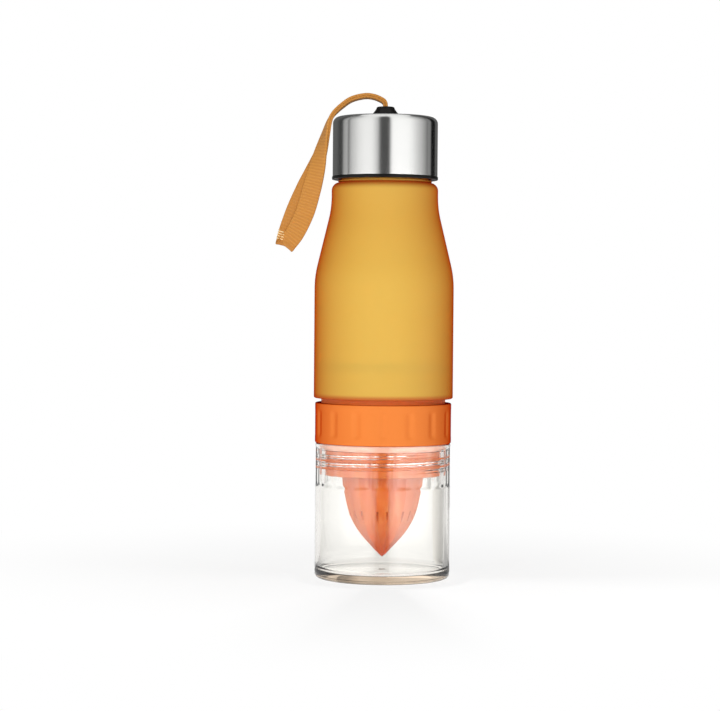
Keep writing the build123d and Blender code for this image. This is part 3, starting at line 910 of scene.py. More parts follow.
shell_bore = shell_radius - SHELL_WALL
inner_z = lid_top_z - SHELL_WALL
shell_outline = rounded([
    (BLEND_RADIUS, inner_z, 0), (shell_bore, inner_z, SHELL_CORNER - SHELL_WALL),
    (shell_bore, shell_z, 0.2), (shell_radius, shell_z, 0.25),
    (shell_radius, lid_top_z, SHELL_CORNER), (BLEND_RADIUS, lid_top_z, 0),
], arc_parts=9)
shell_outline = divided(shell_outline, step=3.0)[::-1]
radius, height, angles = carried_round(shell_outline, SHELL_COLUMNS)
hole = stadium_radius(angles, HOLE_HALF_WIDTH, HOLE_HALF_LENGTH)
to_hole = np.linspace(0, 1, 6)[1:, None]
top_radius = BLEND_RADIUS * (1 - to_hole) + hole * to_hole
radius = np.concatenate([top_radius[::-1], radius, top_radius])
height = np.concatenate([lid_top_z + 0 * top_radius, height, inner_z + 0 * top_radius])
shell = add_turned("steel_shell", radius[::-1], height[::-1], angles)
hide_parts("lid_shell")
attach(shell, "lid")

# %% [markdown]
# ## Knob
#
# The strap comes out of a glossy black knob, a grommet whose stem is pressed through
# the steel. Seen from above it is a stadium, and its flank flares down to the lid: the
# half width falls from base to top by a smooth step of the height. Every row of the
# grid is a stadium, except for those of the slot, which are rectangles. The profile is
# a closed loop that also makes the stem and its barb, out of sight inside the lid.

# %% Knob surface
KNOB_COLUMNS = 128
KNOB_TOP_HALF = 4.5
KNOB_ROUND = 0.8
KNOB_STRAIGHT = 2.2
STEM_HALF = 3.0
STEM_STRAIGHT = 3.3
STEM_DEPTH = 4.6
BARB_HALF = STEM_HALF + 0.6
BARB_LOW, BARB_HIGH = -2.2, -0.8
SLOT_HALF_WIDTH = 1.7
SLOT_HALF_LENGTH = 5.1
SLOT_LIP = ((0.35, 0.0), (0.1, 0.1), (0.0, 0.35))


def rectangle_radius(angle, half_width, half_length):
    """Distance from the axis to a rectangle's edge along an angle; its length is along Y."""
    across = np.maximum(np.abs(np.cos(angle)), 1e-9)
    along = np.maximum(np.abs(np.sin(angle)), 1e-9)
    return np.minimum(half_width / across, half_length / along)


knob_base_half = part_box("strap_grommet")[1].x / MM
knob_height = knob_top_z - lid_top_z
angles = ring_angles(KNOB_COLUMNS)
flank_height = np.linspace(0, knob_height - KNOB_ROUND, 14)
flank_fall = smooth(flank_height / knob_height)
flank_half = knob_base_half - (knob_base_half - KNOB_TOP_HALF) * flank_fall
round_turn = np.linspace(0, pi / 2, 7)[1:]
dome_half = flank_half[-1] - KNOB_ROUND * (1 - np.cos(round_turn))
dome_height = flank_height[-1] + KNOB_ROUND * np.sin(round_turn)
stem_rows = [
    (STEM_HALF, -STEM_DEPTH), (STEM_HALF, BARB_LOW), (BARB_HALF, BARB_LOW),
    (BARB_HALF, BARB_HIGH), (STEM_HALF, BARB_HIGH), (STEM_HALF, 0.0),
]
knob_rows = [
    stadium_radius(angles, half, half + STEM_STRAIGHT) for half, height in stem_rows
] + [
    stadium_radius(angles, half, half + KNOB_STRAIGHT)
    for half in np.concatenate([flank_half, dome_half])
] + [
    rectangle_radius(angles, SLOT_HALF_WIDTH + wider, SLOT_HALF_LENGTH + wider)
    for wider, deep in (*SLOT_LIP, (0.0, STEM_DEPTH))
]
knob_heights = np.concatenate([
    [height for half, height in stem_rows], flank_height, dome_height,
    [knob_height - deep for wider, deep in SLOT_LIP], [-STEM_DEPTH],
])
knob_heights = lid_top_z + knob_heights[:, None]
knob = add_turned("strap_knob", np.array(knob_rows), knob_heights, angles, sharp=50)
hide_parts("strap_grommet")
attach(knob, "lid")

# %% [markdown]
# ## Webbing loop
#
# The wrist loop is one length of woven nylon. It goes round a pin inside the lid, up
# through the knob as two layers, over the lid in an arch, and down beside the bottle,
# where it twists a quarter turn and folds back on itself at the end. So its middle
# line is a closed loop, and the surface is a flat section with round edges carried
# along it. The section's width direction turns with the twist.

# %% Route of the webbing
WEB_WIDTH = 9.8
WEB_THICKNESS = 1.2
LEG_SAMPLES = 260
bend_z = knob_top_z + 1.6
pin_low, pin_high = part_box("strap_pin")
pin_z = (pin_low.z + pin_high.z) / 2 / MM
# Middle of the doubled webbing: out (x), up (z), twist in quarter turns, and how far
# its two layers slide apart sideways
STATIONS = np.array([
    (0.0, pin_z + 3.2, 0.0, 0.0),
    (0.0, bend_z - 5.0, 0.0, 0.0),
    (0.0, bend_z - 1.5, 0.0, 0.0),
    (-0.4, bend_z + 0.6, 0.0, 0.0),
    (-1.9, 246.8, 0.0, 0.0),
    (-5.7, 248.4, 0.0, 0.0),
    (-10.6, 248.9, 0.0, 0.0),
    (-17.3, 247.3, 0.0, 0.0),
    (-22.2, 244.1, 0.0, 0.0),
    (-26.7, 239.9, 0.02, 0.0),
    (-28.95, 235.9, 0.07, 0.0),
    (-31.0, 228.7, 0.21, 0.25),
    (-33.5, 219.4, 0.46, 0.6),
    (-36.0, 210.8, 0.68, 1.15),
    (-39.7, 200.2, 0.89, 1.9),
    (-43.5, 189.7, 0.98, 2.5),
    (-47.8, 179.3, 1.0, 1.9),
    (-51.1, 172.4, 1.0, 0.4),
])


def spline(stations, count):
    """Even samples of a smooth curve through the stations, and its length. It is a
    Catmull-Rom curve, whose slope at a station is half the step between its neighbours."""
    before = 2 * stations[:1] - stations[1:2]
    after = 2 * stations[-1:] - stations[-2:-1]
    padded = np.concatenate([before, stations, after])
    share = np.linspace(0, 1, 40, endpoint=False)[:, None]
    parts = []
    for p0, p1, p2, p3 in zip(padded, padded[1:], padded[2:], padded[3:]):
        parts.append(
            p1 + 0.5 * share * (p2 - p0)
            + share ** 2 * (p0 - 2.5 * p1 + 2 * p2 - 0.5 * p3)
            + share ** 3 * (1.5 * (p1 - p2) + 0.5 * (p3 - p0))
        )
    dense = np.concatenate([*parts, stations[-1:]])
    steps = np.linalg.norm(np.diff(dense[:, :2], axis=0), axis=1)
    along = np.concatenate([[0], np.cumsum(steps)])
    even = np.linspace(0, along[-1], count)
    samples = np.stack([np.interp(even, along, column) for column in dense.T], axis=1)
    return samples, along[-1]


leg, leg_length = spline(STATIONS, LEG_SAMPLES)
print("One leg of the webbing", round(leg_length, 1), "mm")

# %% Closed loop of the webbing
LAYER_GAP = 0.02
PIN_GAP = 0.14
PIN_OPENING = 0.45
FOLD_REACH = 1.35


def unit(vectors):
    """The same vectors with length 1."""
    return vectors / np.linalg.norm(vectors, axis=-1, keepdims=True)


def tangents(line):
    """Direction of a closed line at each of its points, from its two neighbours."""
    return unit(np.roll(line, -1, axis=0) - np.roll(line, 1, axis=0))


outward, side, upward = np.eye(3)
twist, apart = leg[:, 2:3] * pi / 2, leg[:, 3:4]
leg_place = leg[:, :1] * outward + leg[:, 1:2] * upward
leg_along = unit(np.gradient(leg_place, axis=0))
leg_across = side * np.cos(twist) + np.cross(side, leg_along) * np.sin(twist)
leg_flat = np.cross(leg_across, leg_along)
half_gap = (WEB_THICKNESS + LAYER_GAP) / 2
upper = leg_place + leg_flat * half_gap - leg_across * apart
lower = leg_place - leg_flat * half_gap + leg_across * apart

fold_turn = np.linspace(0, pi, 11)[1:-1, None]
fold = (
    leg_place[-1] + leg_flat[-1] * half_gap * np.cos(fold_turn)
    + leg_along[-1] * FOLD_REACH * half_gap * np.sin(fold_turn)
    - leg_across[-1] * apart[-1] * np.cos(fold_turn)
)
loop_radius = (pin_high.z - pin_low.z) / 2 / MM + PIN_GAP + WEB_THICKNESS / 2
opening = np.arcsin(np.clip(half_gap / loop_radius, -1, 1)) + PIN_OPENING
pin_turn = np.linspace(opening, tau - opening, 21)[:, None]
facing_out = np.sign(leg_flat[0, 0]) * outward
pin_loop = pin_z * upward + loop_radius * (
    upward * np.cos(pin_turn) - facing_out * np.sin(pin_turn)
)
path = np.concatenate([upper, fold, lower[::-1], pin_loop])
path_along = tangents(path)
path_across = np.concatenate([
    leg_across, np.repeat(leg_across[-1:], len(fold), axis=0),
    leg_across[::-1], np.repeat(side[None, :], len(pin_loop), axis=0),
])
tilt = (path_across * path_along).sum(1, keepdims=True)
path_across = unit(path_across - tilt * path_along)
path_flat = np.cross(path_across, path_along)
steps = np.linalg.norm(np.roll(path, -1, axis=0) - path, axis=1)

# %% Webbing surface
EDGE_ROUND = 0.3
edge = WEB_THICKNESS / 2
flat_half = WEB_WIDTH / 2 - EDGE_ROUND
edge_turn = np.linspace(-pi / 2, pi / 2, 7)
flat_steps = np.linspace(-flat_half, flat_half, 9)[1:-1]
right_edge = np.stack([flat_half + EDGE_ROUND * np.cos(edge_turn), edge * np.sin(edge_turn)], 1)
front_face = np.stack([flat_steps[::-1], edge + 0 * flat_steps], axis=1)
section = np.concatenate([right_edge, front_face, -right_edge, -front_face])
web_points = (
    path[:, None, :]
    + section[None, :, :1] * path_across[:, None, :]
    + section[None, :, 1:] * path_flat[:, None, :]
)
web = add_mesh("webbing_loop", web_points, closed_faces(numbered(web_points)), sharp=60)
section_steps = np.linalg.norm(np.roll(section, -1, axis=0) - section, axis=1)
u = np.concatenate([[0], np.cumsum(section_steps)]) / section_steps.sum()
v = np.concatenate([[0], np.cumsum(steps)]) * MM
# Each face spans one step of u round the section and one step of v along the webbing
web_uv = np.stack([
    np.stack(np.meshgrid(u_corner, v_corner), axis=-1)
    for u_corner, v_corner in ((u[:-1], v[:-1]), (u[1:], v[:-1]), (u[1:], v[1:]), (u[:-1], v[1:]))
], axis=2)
web.data.uv_layers.new(name="weave").data.foreach_set("uv", web_uv.ravel())
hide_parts("strap", "strap_tail")
web.visible_glossy = False
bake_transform(web)

# %% [markdown]
# Where the loop folds at its end, a bar tack holds the two layers together at one edge:
# a few turns of thick thread side by side. Each turn is a closed loop in the plane
# across the webbing. It runs over the front layer, steps down to the back layer where
# the front one ends, goes round that layer's edge, and comes back behind.

# %% Bar tack
TACK_TURNS = 4
TACK_FIRST = 1.3
TACK_STEP = 1.25
TACK_LENGTH = 3.3
TACK_SIDES = 8
TACK_POINTS = 12
TACK_REACH = 0.75
STEP_LEAD, STEP_RUN = 0.5, 0.9
THREAD_HALF = 0.24
THREAD_FLATNESS = 1.25
THREAD_LIFT = 0.1
leg_run = np.linspace(0, leg_length, LEG_SAMPLES)
layer_face = half_gap + WEB_THICKNESS / 2 + THREAD_LIFT


def on_leg(values, distance):
    """Rows of values along one leg, read at a distance from its start."""
    return np.array([np.interp(distance, leg_run, column) for column in values.T])


def tack_turn(from_start):
    """Grid of points of one turn of thread, at a distance along the leg: a ring of
    points round each point of its closed line."""
    middle = on_leg(leg_place, from_start)
    along, across = unit(on_leg(leg_along, from_start)), unit(on_leg(leg_across, from_start))
    slide = on_leg(apart, from_start)[0]
    back_edge = WEB_WIDTH / 2 + slide - WEB_THICKNESS / 2
    front_edge = WEB_WIDTH / 2 - slide
    over = np.linspace(back_edge + WEB_THICKNESS / 2 - TACK_LENGTH, back_edge, TACK_POINTS)
    step_down = smooth((over - front_edge + STEP_LEAD) / STEP_RUN)
    over_flat = layer_face * (1 - step_down) + THREAD_LIFT * step_down
    cap_turn = np.linspace(pi / 2, -pi / 2, 9)[1:-1]
    cap_middle, cap_half = (THREAD_LIFT - layer_face) / 2, (THREAD_LIFT + layer_face) / 2
    loop_across = np.concatenate([
        over, back_edge + TACK_REACH * np.cos(cap_turn), over[::-1],
    ])
    loop_flat = np.concatenate([
        over_flat, cap_middle + cap_half * np.sin(cap_turn), np.full(TACK_POINTS, -layer_face),
    ])
    lean = 0.5 * TACK_STEP * (loop_flat > 0) * (loop_across - over[0]) / TACK_LENGTH
    line = (
        middle + loop_across[:, None] * across
        + loop_flat[:, None] * np.cross(across, along) + lean[:, None] * along
    )
    line_out = np.cross(tangents(line), along)
    ring_turn = ring_angles(TACK_SIDES)[None, :, None]
    return (
        line[:, None, :] + THREAD_HALF * THREAD_FLATNESS * np.cos(ring_turn) * along
        + THREAD_HALF * np.sin(ring_turn) * line_out[:, None, :]
    )


tack_points = np.stack([
    tack_turn(leg_length - TACK_FIRST - TACK_STEP * number) for number in range(TACK_TURNS)
])
turn_numbers = numbered(tack_points[0])
tack_faces = [
    closed_faces(turn_numbers + turn_numbers.size * number)[0] for number in range(TACK_TURNS)
]
tack = add_mesh("end_stitches", tack_points, tack_faces, sharp=70)
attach(tack, "strap")

# %% [markdown]
# ## Finishes
#
# Each effect that several finishes share is a node group: a fine grain, and faint
# scratches. They give numbers between 0 and 1, which each material feeds to its
# roughness or bump. Both start from noise, stretched for lines and even for grain.

# %% Shared effects
def streaks(tree, place, stretch, detail, roughness=0.5, turned=(0, 0, 0)):
    """Noise that changes fast along axes with a large stretch and slowly along the rest."""
    drawn = node(tree, "ShaderNodeMapping", Vector=place, Rotation=turned, Scale=stretch)
    noise = node(
        tree, "ShaderNodeTexNoise", Vector=drawn.outputs["Vector"],
        Scale=1.0, Detail=detail, Roughness=roughness,
    )
    return noise.outputs["Fac"]


def new_group(name, setting, value, result):
    """A node group that takes a place and one number, and gives one number."""
    group = bpy.data.node_groups.new(name, "ShaderNodeTree")
    sockets = group.interface
    sockets.new_socket("Place", in_out="INPUT", socket_type="NodeSocketVector")
    number = sockets.new_socket(setting, in_out="INPUT", socket_type="NodeSocketFloat")
    number.default_value = value
    sockets.new_socket(result, in_out="OUTPUT", socket_type="NodeSocketFloat")
    return group, group.nodes.new("NodeGroupInput").outputs, group.nodes.new("NodeGroupOutput")


grain_group, given, output = new_group("fine_grain", "Size", 0.001, "Grain")
grain_scale = math_node(grain_group, "DIVIDE", 1.0, given["Size"])
grain_noise = node(
    grain_group, "ShaderNodeTexNoise", Vector=given["Place"], Scale=grain_scale,
    Detail=3.0, Roughness=0.6,
)
fill(output, Grain=grain_noise.outputs["Fac"])

scratch_group, given, output = new_group("hair_scratches", "Amount", 0.5, "Scratch")
thin_lines = []
for lean, stretch in ((0.5, (900, 900, 26)), (-0.7, (34, 760, 760))):
    lines = streaks(
        scratch_group, given["Place"], stretch, detail=1.0, turned=(lean, lean * 0.6, lean),
    )
    thin_lines.append(ranged(scratch_group, lines, low=0.68, high=0.74))
either = math_node(scratch_group, "MAXIMUM", *thin_lines)
fill(output, Scratch=math_node(scratch_group, "MULTIPLY", either, given["Amount"]))
print("Groups:", [group.name for group in bpy.data.node_groups])


# %% Steps that several materials share
def place_group(tree, group, place, **values):
    """Put a shared effect into a material, at the object's coordinates."""
    made = node(tree, "ShaderNodeGroup", node_tree=group)
    fill(made, Place=place, **values)
    return made.outputs[0]


def vary(tree, pattern, swing, base):
    """From base, where the pattern is 0, to base + swing, where it is 1."""
    return math_node(tree, "MULTIPLY_ADD", pattern, swing, base)


def add_bump(tree, shader, height, strength, distance):
    """Feed a height pattern to the shader's normal."""
    bump = node(tree, "ShaderNodeBump", Strength=strength, Distance=distance, Height=height)
    fill(shader, Normal=bump.outputs["Normal"])


def shadow_alpha(tree, shader, share):
    """Let this share of lamp light through, so that what is inside is lit."""
    shadow = node(tree, "ShaderNodeLightPath").outputs["Is Shadow Ray"]
    less = math_node(tree, "MULTIPLY", shadow, share)
    fill(shader, Alpha=math_node(tree, "SUBTRACT", 1.0, less))


def absorb(tree, density, colour):
    """Take away light inside the plastic, more on a longer path, and least of this colour."""
    tint = node(tree, "ShaderNodeVolumeAbsorption", Density=density, Color=colour)
    fill(tree.nodes["Material Output"], Volume=tint.outputs["Volume"])


def shade_sides(shader, colour):
    """A coat that reflects nothing and only tints, most where it is seen at a slant: painted shade
    at the sides.
    """
    fill(shader, Coat_Weight=1.0, Coat_IOR=1.0, Coat_Roughness=0.5, Coat_Tint=colour)


print("Material helpers ready")

# %% [markdown]
# ### Clear plastic of the cup
#
# Clear and glossy, with a faint warm grey that shows only where light runs a long way
# through it, at the side walls and in the thick foot. That colour belongs in the
# volume: absorption takes away more light the longer the path is.

# %% Clear plastic
CLEAR = (0.965, 0.968, 0.955)
CLEAR_DEPTHS = (0.82, 0.72, 0.60)
clear, tree, shader, place = new_material("clear_plastic")
scratch = place_group(tree, scratch_group, place, Amount=0.12)
grain = place_group(tree, grain_group, place, Size=0.02)
rough = vary(tree, grain, swing=0.03, base=scratch)
fill(shader, Base_Color=CLEAR, Transmission_Weight=1.0, IOR=1.47, Roughness=rough)
shadow_alpha(tree, shader, share=0.92)
absorb(tree, density=36.0, colour=CLEAR_DEPTHS)
dress(cup, clear)

# %% [markdown]
# ### Translucent orange of the press
#
# Slightly milky, so it glows salmon where it is thin and deep orange where it is
# thick or where two walls lie behind each other. The plastic flowed down the mould,
# which left faint upright streaks. The tip is deeper. The band that shows in the gap
# between collar and body is dull, and its deeper orange there is painted shade.

# %% Translucent orange
STREAK_DEEP, STREAK_PALE = (0.87, 0.21, 0.03), (0.95, 0.31, 0.068)
TIP_ORANGE = (0.80, 0.10, 0.005)
# Painted shade for the gap between collar and body
GAP_SHADE_ORANGE = (0.92, 0.22, 0.02)
ORANGE_DEPTHS = (0.97, 0.60, 0.30)
salmon, tree, shader, place = new_material("orange_clear")
flow = streaks(tree, place, (420, 420, 9), detail=2.0, roughness=0.6)
flow = ranged(tree, flow, low=0.35, high=0.65)
streaked = mix_colour(tree, flow, STREAK_DEEP, STREAK_PALE)
near_tip = height_mask(tree, place, press_tip_z, press_tip_z + 16.0, start=1.0, end=0.0)
toned = mix_colour(tree, near_tip, streaked, TIP_ORANGE)
height = node(tree, "ShaderNodeSeparateXYZ", Vector=place).outputs["Z"]
# The band in the gap between collar and body: duller, and painted deeper orange as painted shade
above_collar = math_node(tree, "GREATER_THAN", height, (collar_top_z - 0.6) * MM)
below_body = math_node(tree, "LESS_THAN", height, (body_z + 0.9) * MM)
in_gap = math_node(tree, "MULTIPLY", above_collar, below_body)
grain = place_group(tree, grain_group, place, Size=0.006)
rough = vary(tree, grain, swing=0.10, base=0.08)
dull_gap = math_node(tree, "MULTIPLY", in_gap, 0.7)
fill(
    shader, Transmission_Weight=0.5, IOR=1.46,
    Base_Color=mix_colour(tree, in_gap, toned, GAP_SHADE_ORANGE),
    Roughness=math_node(tree, "MAXIMUM", rough, dull_gap),
)
shadow_alpha(tree, shader, share=0.45)
absorb(tree, density=160.0, colour=ORANGE_DEPTHS)
dress(press, salmon)

# %% [markdown]
# ### Opaque orange of the collar
#
# A filled plastic with a fine moulded grain and a soft, low shine. Its colour drifts
# a little over the ring, and it is darker where the surface turns away, as painted
# shade. A darker base colour would deepen the middle too, so a tinting coat does it
# at the sides only.

# %% Opaque orange
COLLAR_PALE, COLLAR_DEEP = (0.86, 0.33, 0.086), (0.84, 0.31, 0.078)
orange, tree, shader, place = new_material("orange_solid")
grain = place_group(tree, grain_group, place, Size=0.0012)
drift = place_group(tree, grain_group, place, Size=0.03)
fill(
    shader, Specular_IOR_Level=0.3,
    Base_Color=mix_colour(tree, drift, COLLAR_PALE, COLLAR_DEEP),
    Roughness=vary(tree, grain, swing=0.10, base=0.40),
)
# Painted shade at the sides: the coat darkens and reddens the ring where it turns away
shade_sides(shader, (0.93, 0.66, 0.45))
add_bump(tree, shader, grain, strength=0.12, distance=0.0002)
dress(collar, orange)

# %% [markdown]
# ### Frosted amber of the body
#
# The outside is frosted, so light that comes through from behind is spread, and the
# middle glows golden. At the sides the light runs further through the plastic, and
# the colour deepens to red orange; a tinting coat and a dark red sheen add painted
# shade there. The bottom rim and the edge of the shoulder under the bead are painted
# deep red orange, as painted shade from the gaps beside them, and the upper part that
# leans in is painted a darker gold, as painted shade.

# %% Frosted amber
GOLD, GOLD_PALE = (0.96, 0.90, 0.19), (0.99, 0.94, 0.215)
GOLD_UPPER_SHADE = (0.93, 0.75, 0.15)
AMBER_EDGE_SHADE = (0.74, 0.26, 0.045)
AMBER_DEPTHS = (0.84, 0.62, 0.36)
amber, tree, shader, place = new_material("frosted_amber")
# Painted shade: deep red orange at the bottom rim and at the edge of the shoulder under the bead
near_rim = height_mask(tree, place, body_z + 0.5, body_z + 3.0, start=1.0, end=0.0, soft=True)
near_neck = height_mask(tree, place, NECK_Z - 3.6, NECK_Z + 0.2, soft=True)
under_neck = height_mask(tree, place, NECK_Z - 0.1, NECK_Z + 0.4, start=1.0, end=0.0)
shoulder_edge = math_node(tree, "MULTIPLY", near_neck, under_neck)
deep = math_node(tree, "MAXIMUM", near_rim, shoulder_edge)
cloudy = place_group(tree, grain_group, place, Size=0.035)
# Painted shade: a darker gold up the part that leans in towards the shoulder
higher = height_mask(tree, place, TAPER_Z, NECK_Z, end=0.6, soft=True)
golden = mix_colour(tree, cloudy, GOLD, GOLD_PALE)
golden = mix_colour(tree, higher, golden, GOLD_UPPER_SHADE)
grain = place_group(tree, grain_group, place, Size=0.0008)
fill(
    shader, Transmission_Weight=0.45, IOR=1.45,
    Base_Color=mix_colour(tree, deep, golden, AMBER_EDGE_SHADE),
    Roughness=vary(tree, grain, swing=0.14, base=0.55),
    Sheen_Weight=1.0, Sheen_Roughness=0.5, Sheen_Tint=(0.38, 0.055, 0.01),
)
# Painted shade at the sides: this tinting coat, with the dark red sheen above, darkens and reddens
# the body where it turns away
shade_sides(shader, (0.90, 0.69, 0.52))
add_bump(tree, shader, grain, strength=0.10, distance=0.0001)
shadow_alpha(tree, shader, share=0.5)
absorb(tree, density=200.0, colour=AMBER_DEPTHS)
dress(body, amber)

# %% [markdown]
# ### Brushed steel
#
# The shell is turned against an abrasive belt, so its marks run round it. A mark
# spreads reflections across its own direction, so soft boxes stretch up and down into
# clean upright bands. The tangent runs round the axis and the spread is turned a
# quarter turn from it.

# %% Brushed steel
STEEL_DARK, STEEL_LIGHT = (0.76, 0.76, 0.75), (0.82, 0.82, 0.80)
steel, tree, shader, place = new_material("steel")
round_axis = node(tree, "ShaderNodeTangent", direction_type="RADIAL", axis="Z")
lines = streaks(tree, place, (60, 60, 5200), detail=4.0, roughness=0.7)
fill(
    shader, Metallic=1.0, Anisotropic=0.9, Anisotropic_Rotation=0.25,
    Tangent=round_axis.outputs[0],
    Base_Color=mix_colour(tree, lines, STEEL_DARK, STEEL_LIGHT),
    Roughness=vary(tree, lines, swing=0.08, base=0.18),
)
add_bump(tree, shader, lines, strength=0.04, distance=0.00002)
dress(shell, steel)

# %% [markdown]
# ### Black plastic, silicone and the pin
#
# The liner and the knob are glossy black, with hair scratches that dull the gloss. The
# sealing rings are milky silicone, and light goes partly through them; their light
# salmon, between the orange pieces, is partly painted light: the orange glow of the
# press behind them. The pin is plain steel. These small pieces need no map of their
# own: a drift between two near colours keeps them from looking flat.

# %% Black plastic
BLACK, BLACK_WORN = (0.008, 0.008, 0.008), (0.014, 0.013, 0.012)
black, tree, shader, place = new_material("black_plastic")
grain = place_group(tree, grain_group, place, Size=0.004)
scratch = place_group(tree, scratch_group, place, Amount=0.25)
fill(
    shader, Specular_IOR_Level=0.1,
    Base_Color=mix_colour(tree, grain, BLACK, BLACK_WORN),
    Roughness=vary(tree, scratch, swing=0.4, base=0.12),
)
dress(liner, black)
dress(knob, black)

# %% Silicone and pin
# Partly painted light: the salmon stands in for the orange glow of the press behind the rings
SILICONE_PALE, SILICONE_DEEP = (1.0, 0.62, 0.48), (0.98, 0.58, 0.44)
PIN_DARK, PIN_LIGHT = (0.55, 0.55, 0.55), (0.7, 0.7, 0.69)
silicone, tree, shader, place = new_material("silicone")
grain = place_group(tree, grain_group, place, Size=0.002)
fill(
    shader, Roughness=0.4, Transmission_Weight=0.35, IOR=1.41,
    Base_Color=mix_colour(tree, grain, SILICONE_PALE, SILICONE_DEEP),
)
shadow_alpha(tree, shader, share=0.6)
for ring in ("cup_seal", "body_seal", "lid_seal"):
    dress(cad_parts[ring], silicone)
pin_steel, tree, shader, place = new_material("pin_steel")
grain = place_group(tree, grain_group, place, Size=0.001)
fill(
    shader, Metallic=1.0, Roughness=0.3,
    Base_Color=mix_colour(tree, grain, PIN_DARK, PIN_LIGHT),
)
dress(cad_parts["strap_pin"], pin_steel)

# %% [markdown]
# ### Woven webbing
#
# Nylon webbing has ribs across it: each pass of the weft pushes the long yarns up.
# The pattern follows the cloth, so it reads the piece's own map, whose second number
# is the length along the webbing in metres. The back layer is painted a little darker,
# as painted shade from the front layer over it. The thread of the bar tack is smoother
# and paler, so it gets a material of its own.

# %% Webbing
RIBS_PER_METRE = 620.0
YARNS_ROUND = 40.0
RIB_SHARE, YARN_SHARE = 0.25, 0.12
DEEP_DARK, DEEP_LIGHT = (0.43, 0.165, 0.022), (0.48, 0.19, 0.028)
PALE_DARK, PALE_LIGHT = (0.55, 0.235, 0.036), (0.61, 0.275, 0.046)
weave, tree, shader, place = new_material("webbing")
cloth = node(tree, "ShaderNodeUVMap", uv_map="weave").outputs["UV"]
parts = node(tree, "ShaderNodeSeparateXYZ", Vector=cloth).outputs
rib = math_node(tree, "SINE", math_node(tree, "MULTIPLY", parts["Y"], tau * RIBS_PER_METRE))
yarn = math_node(tree, "SINE", math_node(tree, "MULTIPLY", parts["X"], tau * YARNS_ROUND))
pattern = vary(tree, rib, RIB_SHARE, vary(tree, yarn, YARN_SHARE, 0.5))
drift = place_group(tree, grain_group, place, Size=0.012)
deep = mix_colour(tree, drift, DEEP_DARK, DEEP_LIGHT)
pale = mix_colour(tree, drift, PALE_DARK, PALE_LIGHT)
# Painted shade: the back layer, behind the front one, is darker
on_back = math_node(tree, "GREATER_THAN", parts["Y"], (leg_length + 1.0) * MM)
back_layer_shade = vary(tree, on_back, swing=-0.55, base=1.0)
shade = math_node(tree, "MULTIPLY", pattern, back_layer_shade, clamp=True)
fill(
    shader, Base_Color=mix_colour(tree, shade, deep, pale),
    Roughness=0.75, Sheen_Weight=0.03, Sheen_Roughness=0.4,
)
add_bump(tree, shader, pattern, strength=0.4, distance=0.0003)
dress(web, weave)

# %% Thread of the bar tack
THREAD_DEEP, THREAD_PALE = (0.86, 0.56, 0.22), (0.95, 0.74, 0.42)
tack_thread, tree, shader, place = new_material("tack_thread")
grain = place_group(tree, grain_group, place, Size=0.0007)
fill(shader, Roughness=0.35, Base_Color=mix_colour(tree, grain, THREAD_DEEP, THREAD_PALE))
add_bump(tree, shader, grain, strength=0.3, distance=0.0001)
dress(tack, tack_thread)

# %% [markdown]
# ## Flags and panels round the lid
#
# A ring of light and dark strips stands round the bottle. Reflections see all of it. The
# light that clear plastic bends sees its front part only, so that the backdrop behind
# the bottle stays white. Neither the camera nor the light on the object meets it. Each
# stop of the colour ramps below is a direction round the bottle, from straight behind
# the camera, and how bright that strip of the studio is. The lowest part of the
# ring has strips of its own, much brighter. The camera looks down on the cup, so the
# cup's reflections come from there, and a clear wall shows only bright ones. The lid
# stands above the camera, and mirrors the higher part. A skirt of the same material
# lies on the floor, so that what the cup's foot reflects and bends gets the same lights
# and darks, and not the plain white of the floor.

# %% Sheets of the studio
RING_RADIUS = 380.0
RING_HIGH = 900.0
RING_COLUMNS = 61
RING_FIRST, RING_SIDE, RING_LAST = -126, 141, 234
SKIRT_RADIUS = 46.0
SKIRT_LIFT = 0.05
SKIRT_ROWS = 12


def studio_sheet(name, profile, first, last, columns, pivot=0.0):
    """A profile of (radius, height) carried round between two directions, in degrees to
    the right of the camera's side, about an upright line at x = pivot."""
    profile = np.array(profile, float)
    bearings = np.radians(np.linspace(first, last, columns) - 90)
    points = turned_points(profile[:, :1], profile[:, 1:], bearings)
    points[..., 0] += pivot
    faces = grid_faces(numbered(points))[:, :-1].reshape(-1, 4)
    sheet = add_mesh(name, points, [faces])
    sheet.visible_camera = False
    sheet.visible_diffuse = False
    sheet.visible_shadow = False
    sheet.visible_volume_scatter = False
    return sheet


skirt_radii = np.linspace(RING_RADIUS, SKIRT_RADIUS, SKIRT_ROWS)
skirt_profile = [(radius, SKIRT_LIFT) for radius in skirt_radii]
ring_profile = [(RING_RADIUS, RING_HIGH), (RING_RADIUS, 0.0)]
skirt = studio_sheet("ring_floor", skirt_profile, RING_FIRST, RING_SIDE, RING_COLUMNS)
ring_front = studio_sheet("ring_front", ring_profile, RING_FIRST, RING_SIDE, RING_COLUMNS)
ring_back = studio_sheet("ring_back", ring_profile, RING_SIDE, RING_LAST, RING_COLUMNS)
ring_back.visible_transmission = False

# %% Light of the reflection ring
LOW_BOX_TOP = 120.0
LOW_BOX_FADE = 30.0
LOW_BOX_GAIN = 5.2
RAMP_TOP = 1.2
# Degrees from the camera's side, to the right, and brightness there
STRIPS = (
    (-178, 0.12), (-130, 0.12), (-116, 0.05), (-106, 0.05), (-99, 0.42), (-87.5, 0.48),
    (-86, 0.04), (-84, 0.04), (-82.5, 0.42), (-74, 0.59), (-58, 0.86), (-44, 0.98), (-30, 0.97),
    (-20, 0.72), (-14.5, 0.46), (-10.5, 0.06), (9, 0.05), (12.5, 0.95), (18, 1.09), (50, 1.09),
    (62, 0.92), (72, 0.71), (83, 0.55), (95.5, 0.35), (102, 0.17), (107, 0.26), (114, 0.26),
    (117, 0.0), (134, 0.0), (141, 0.12), (178, 0.12),
)
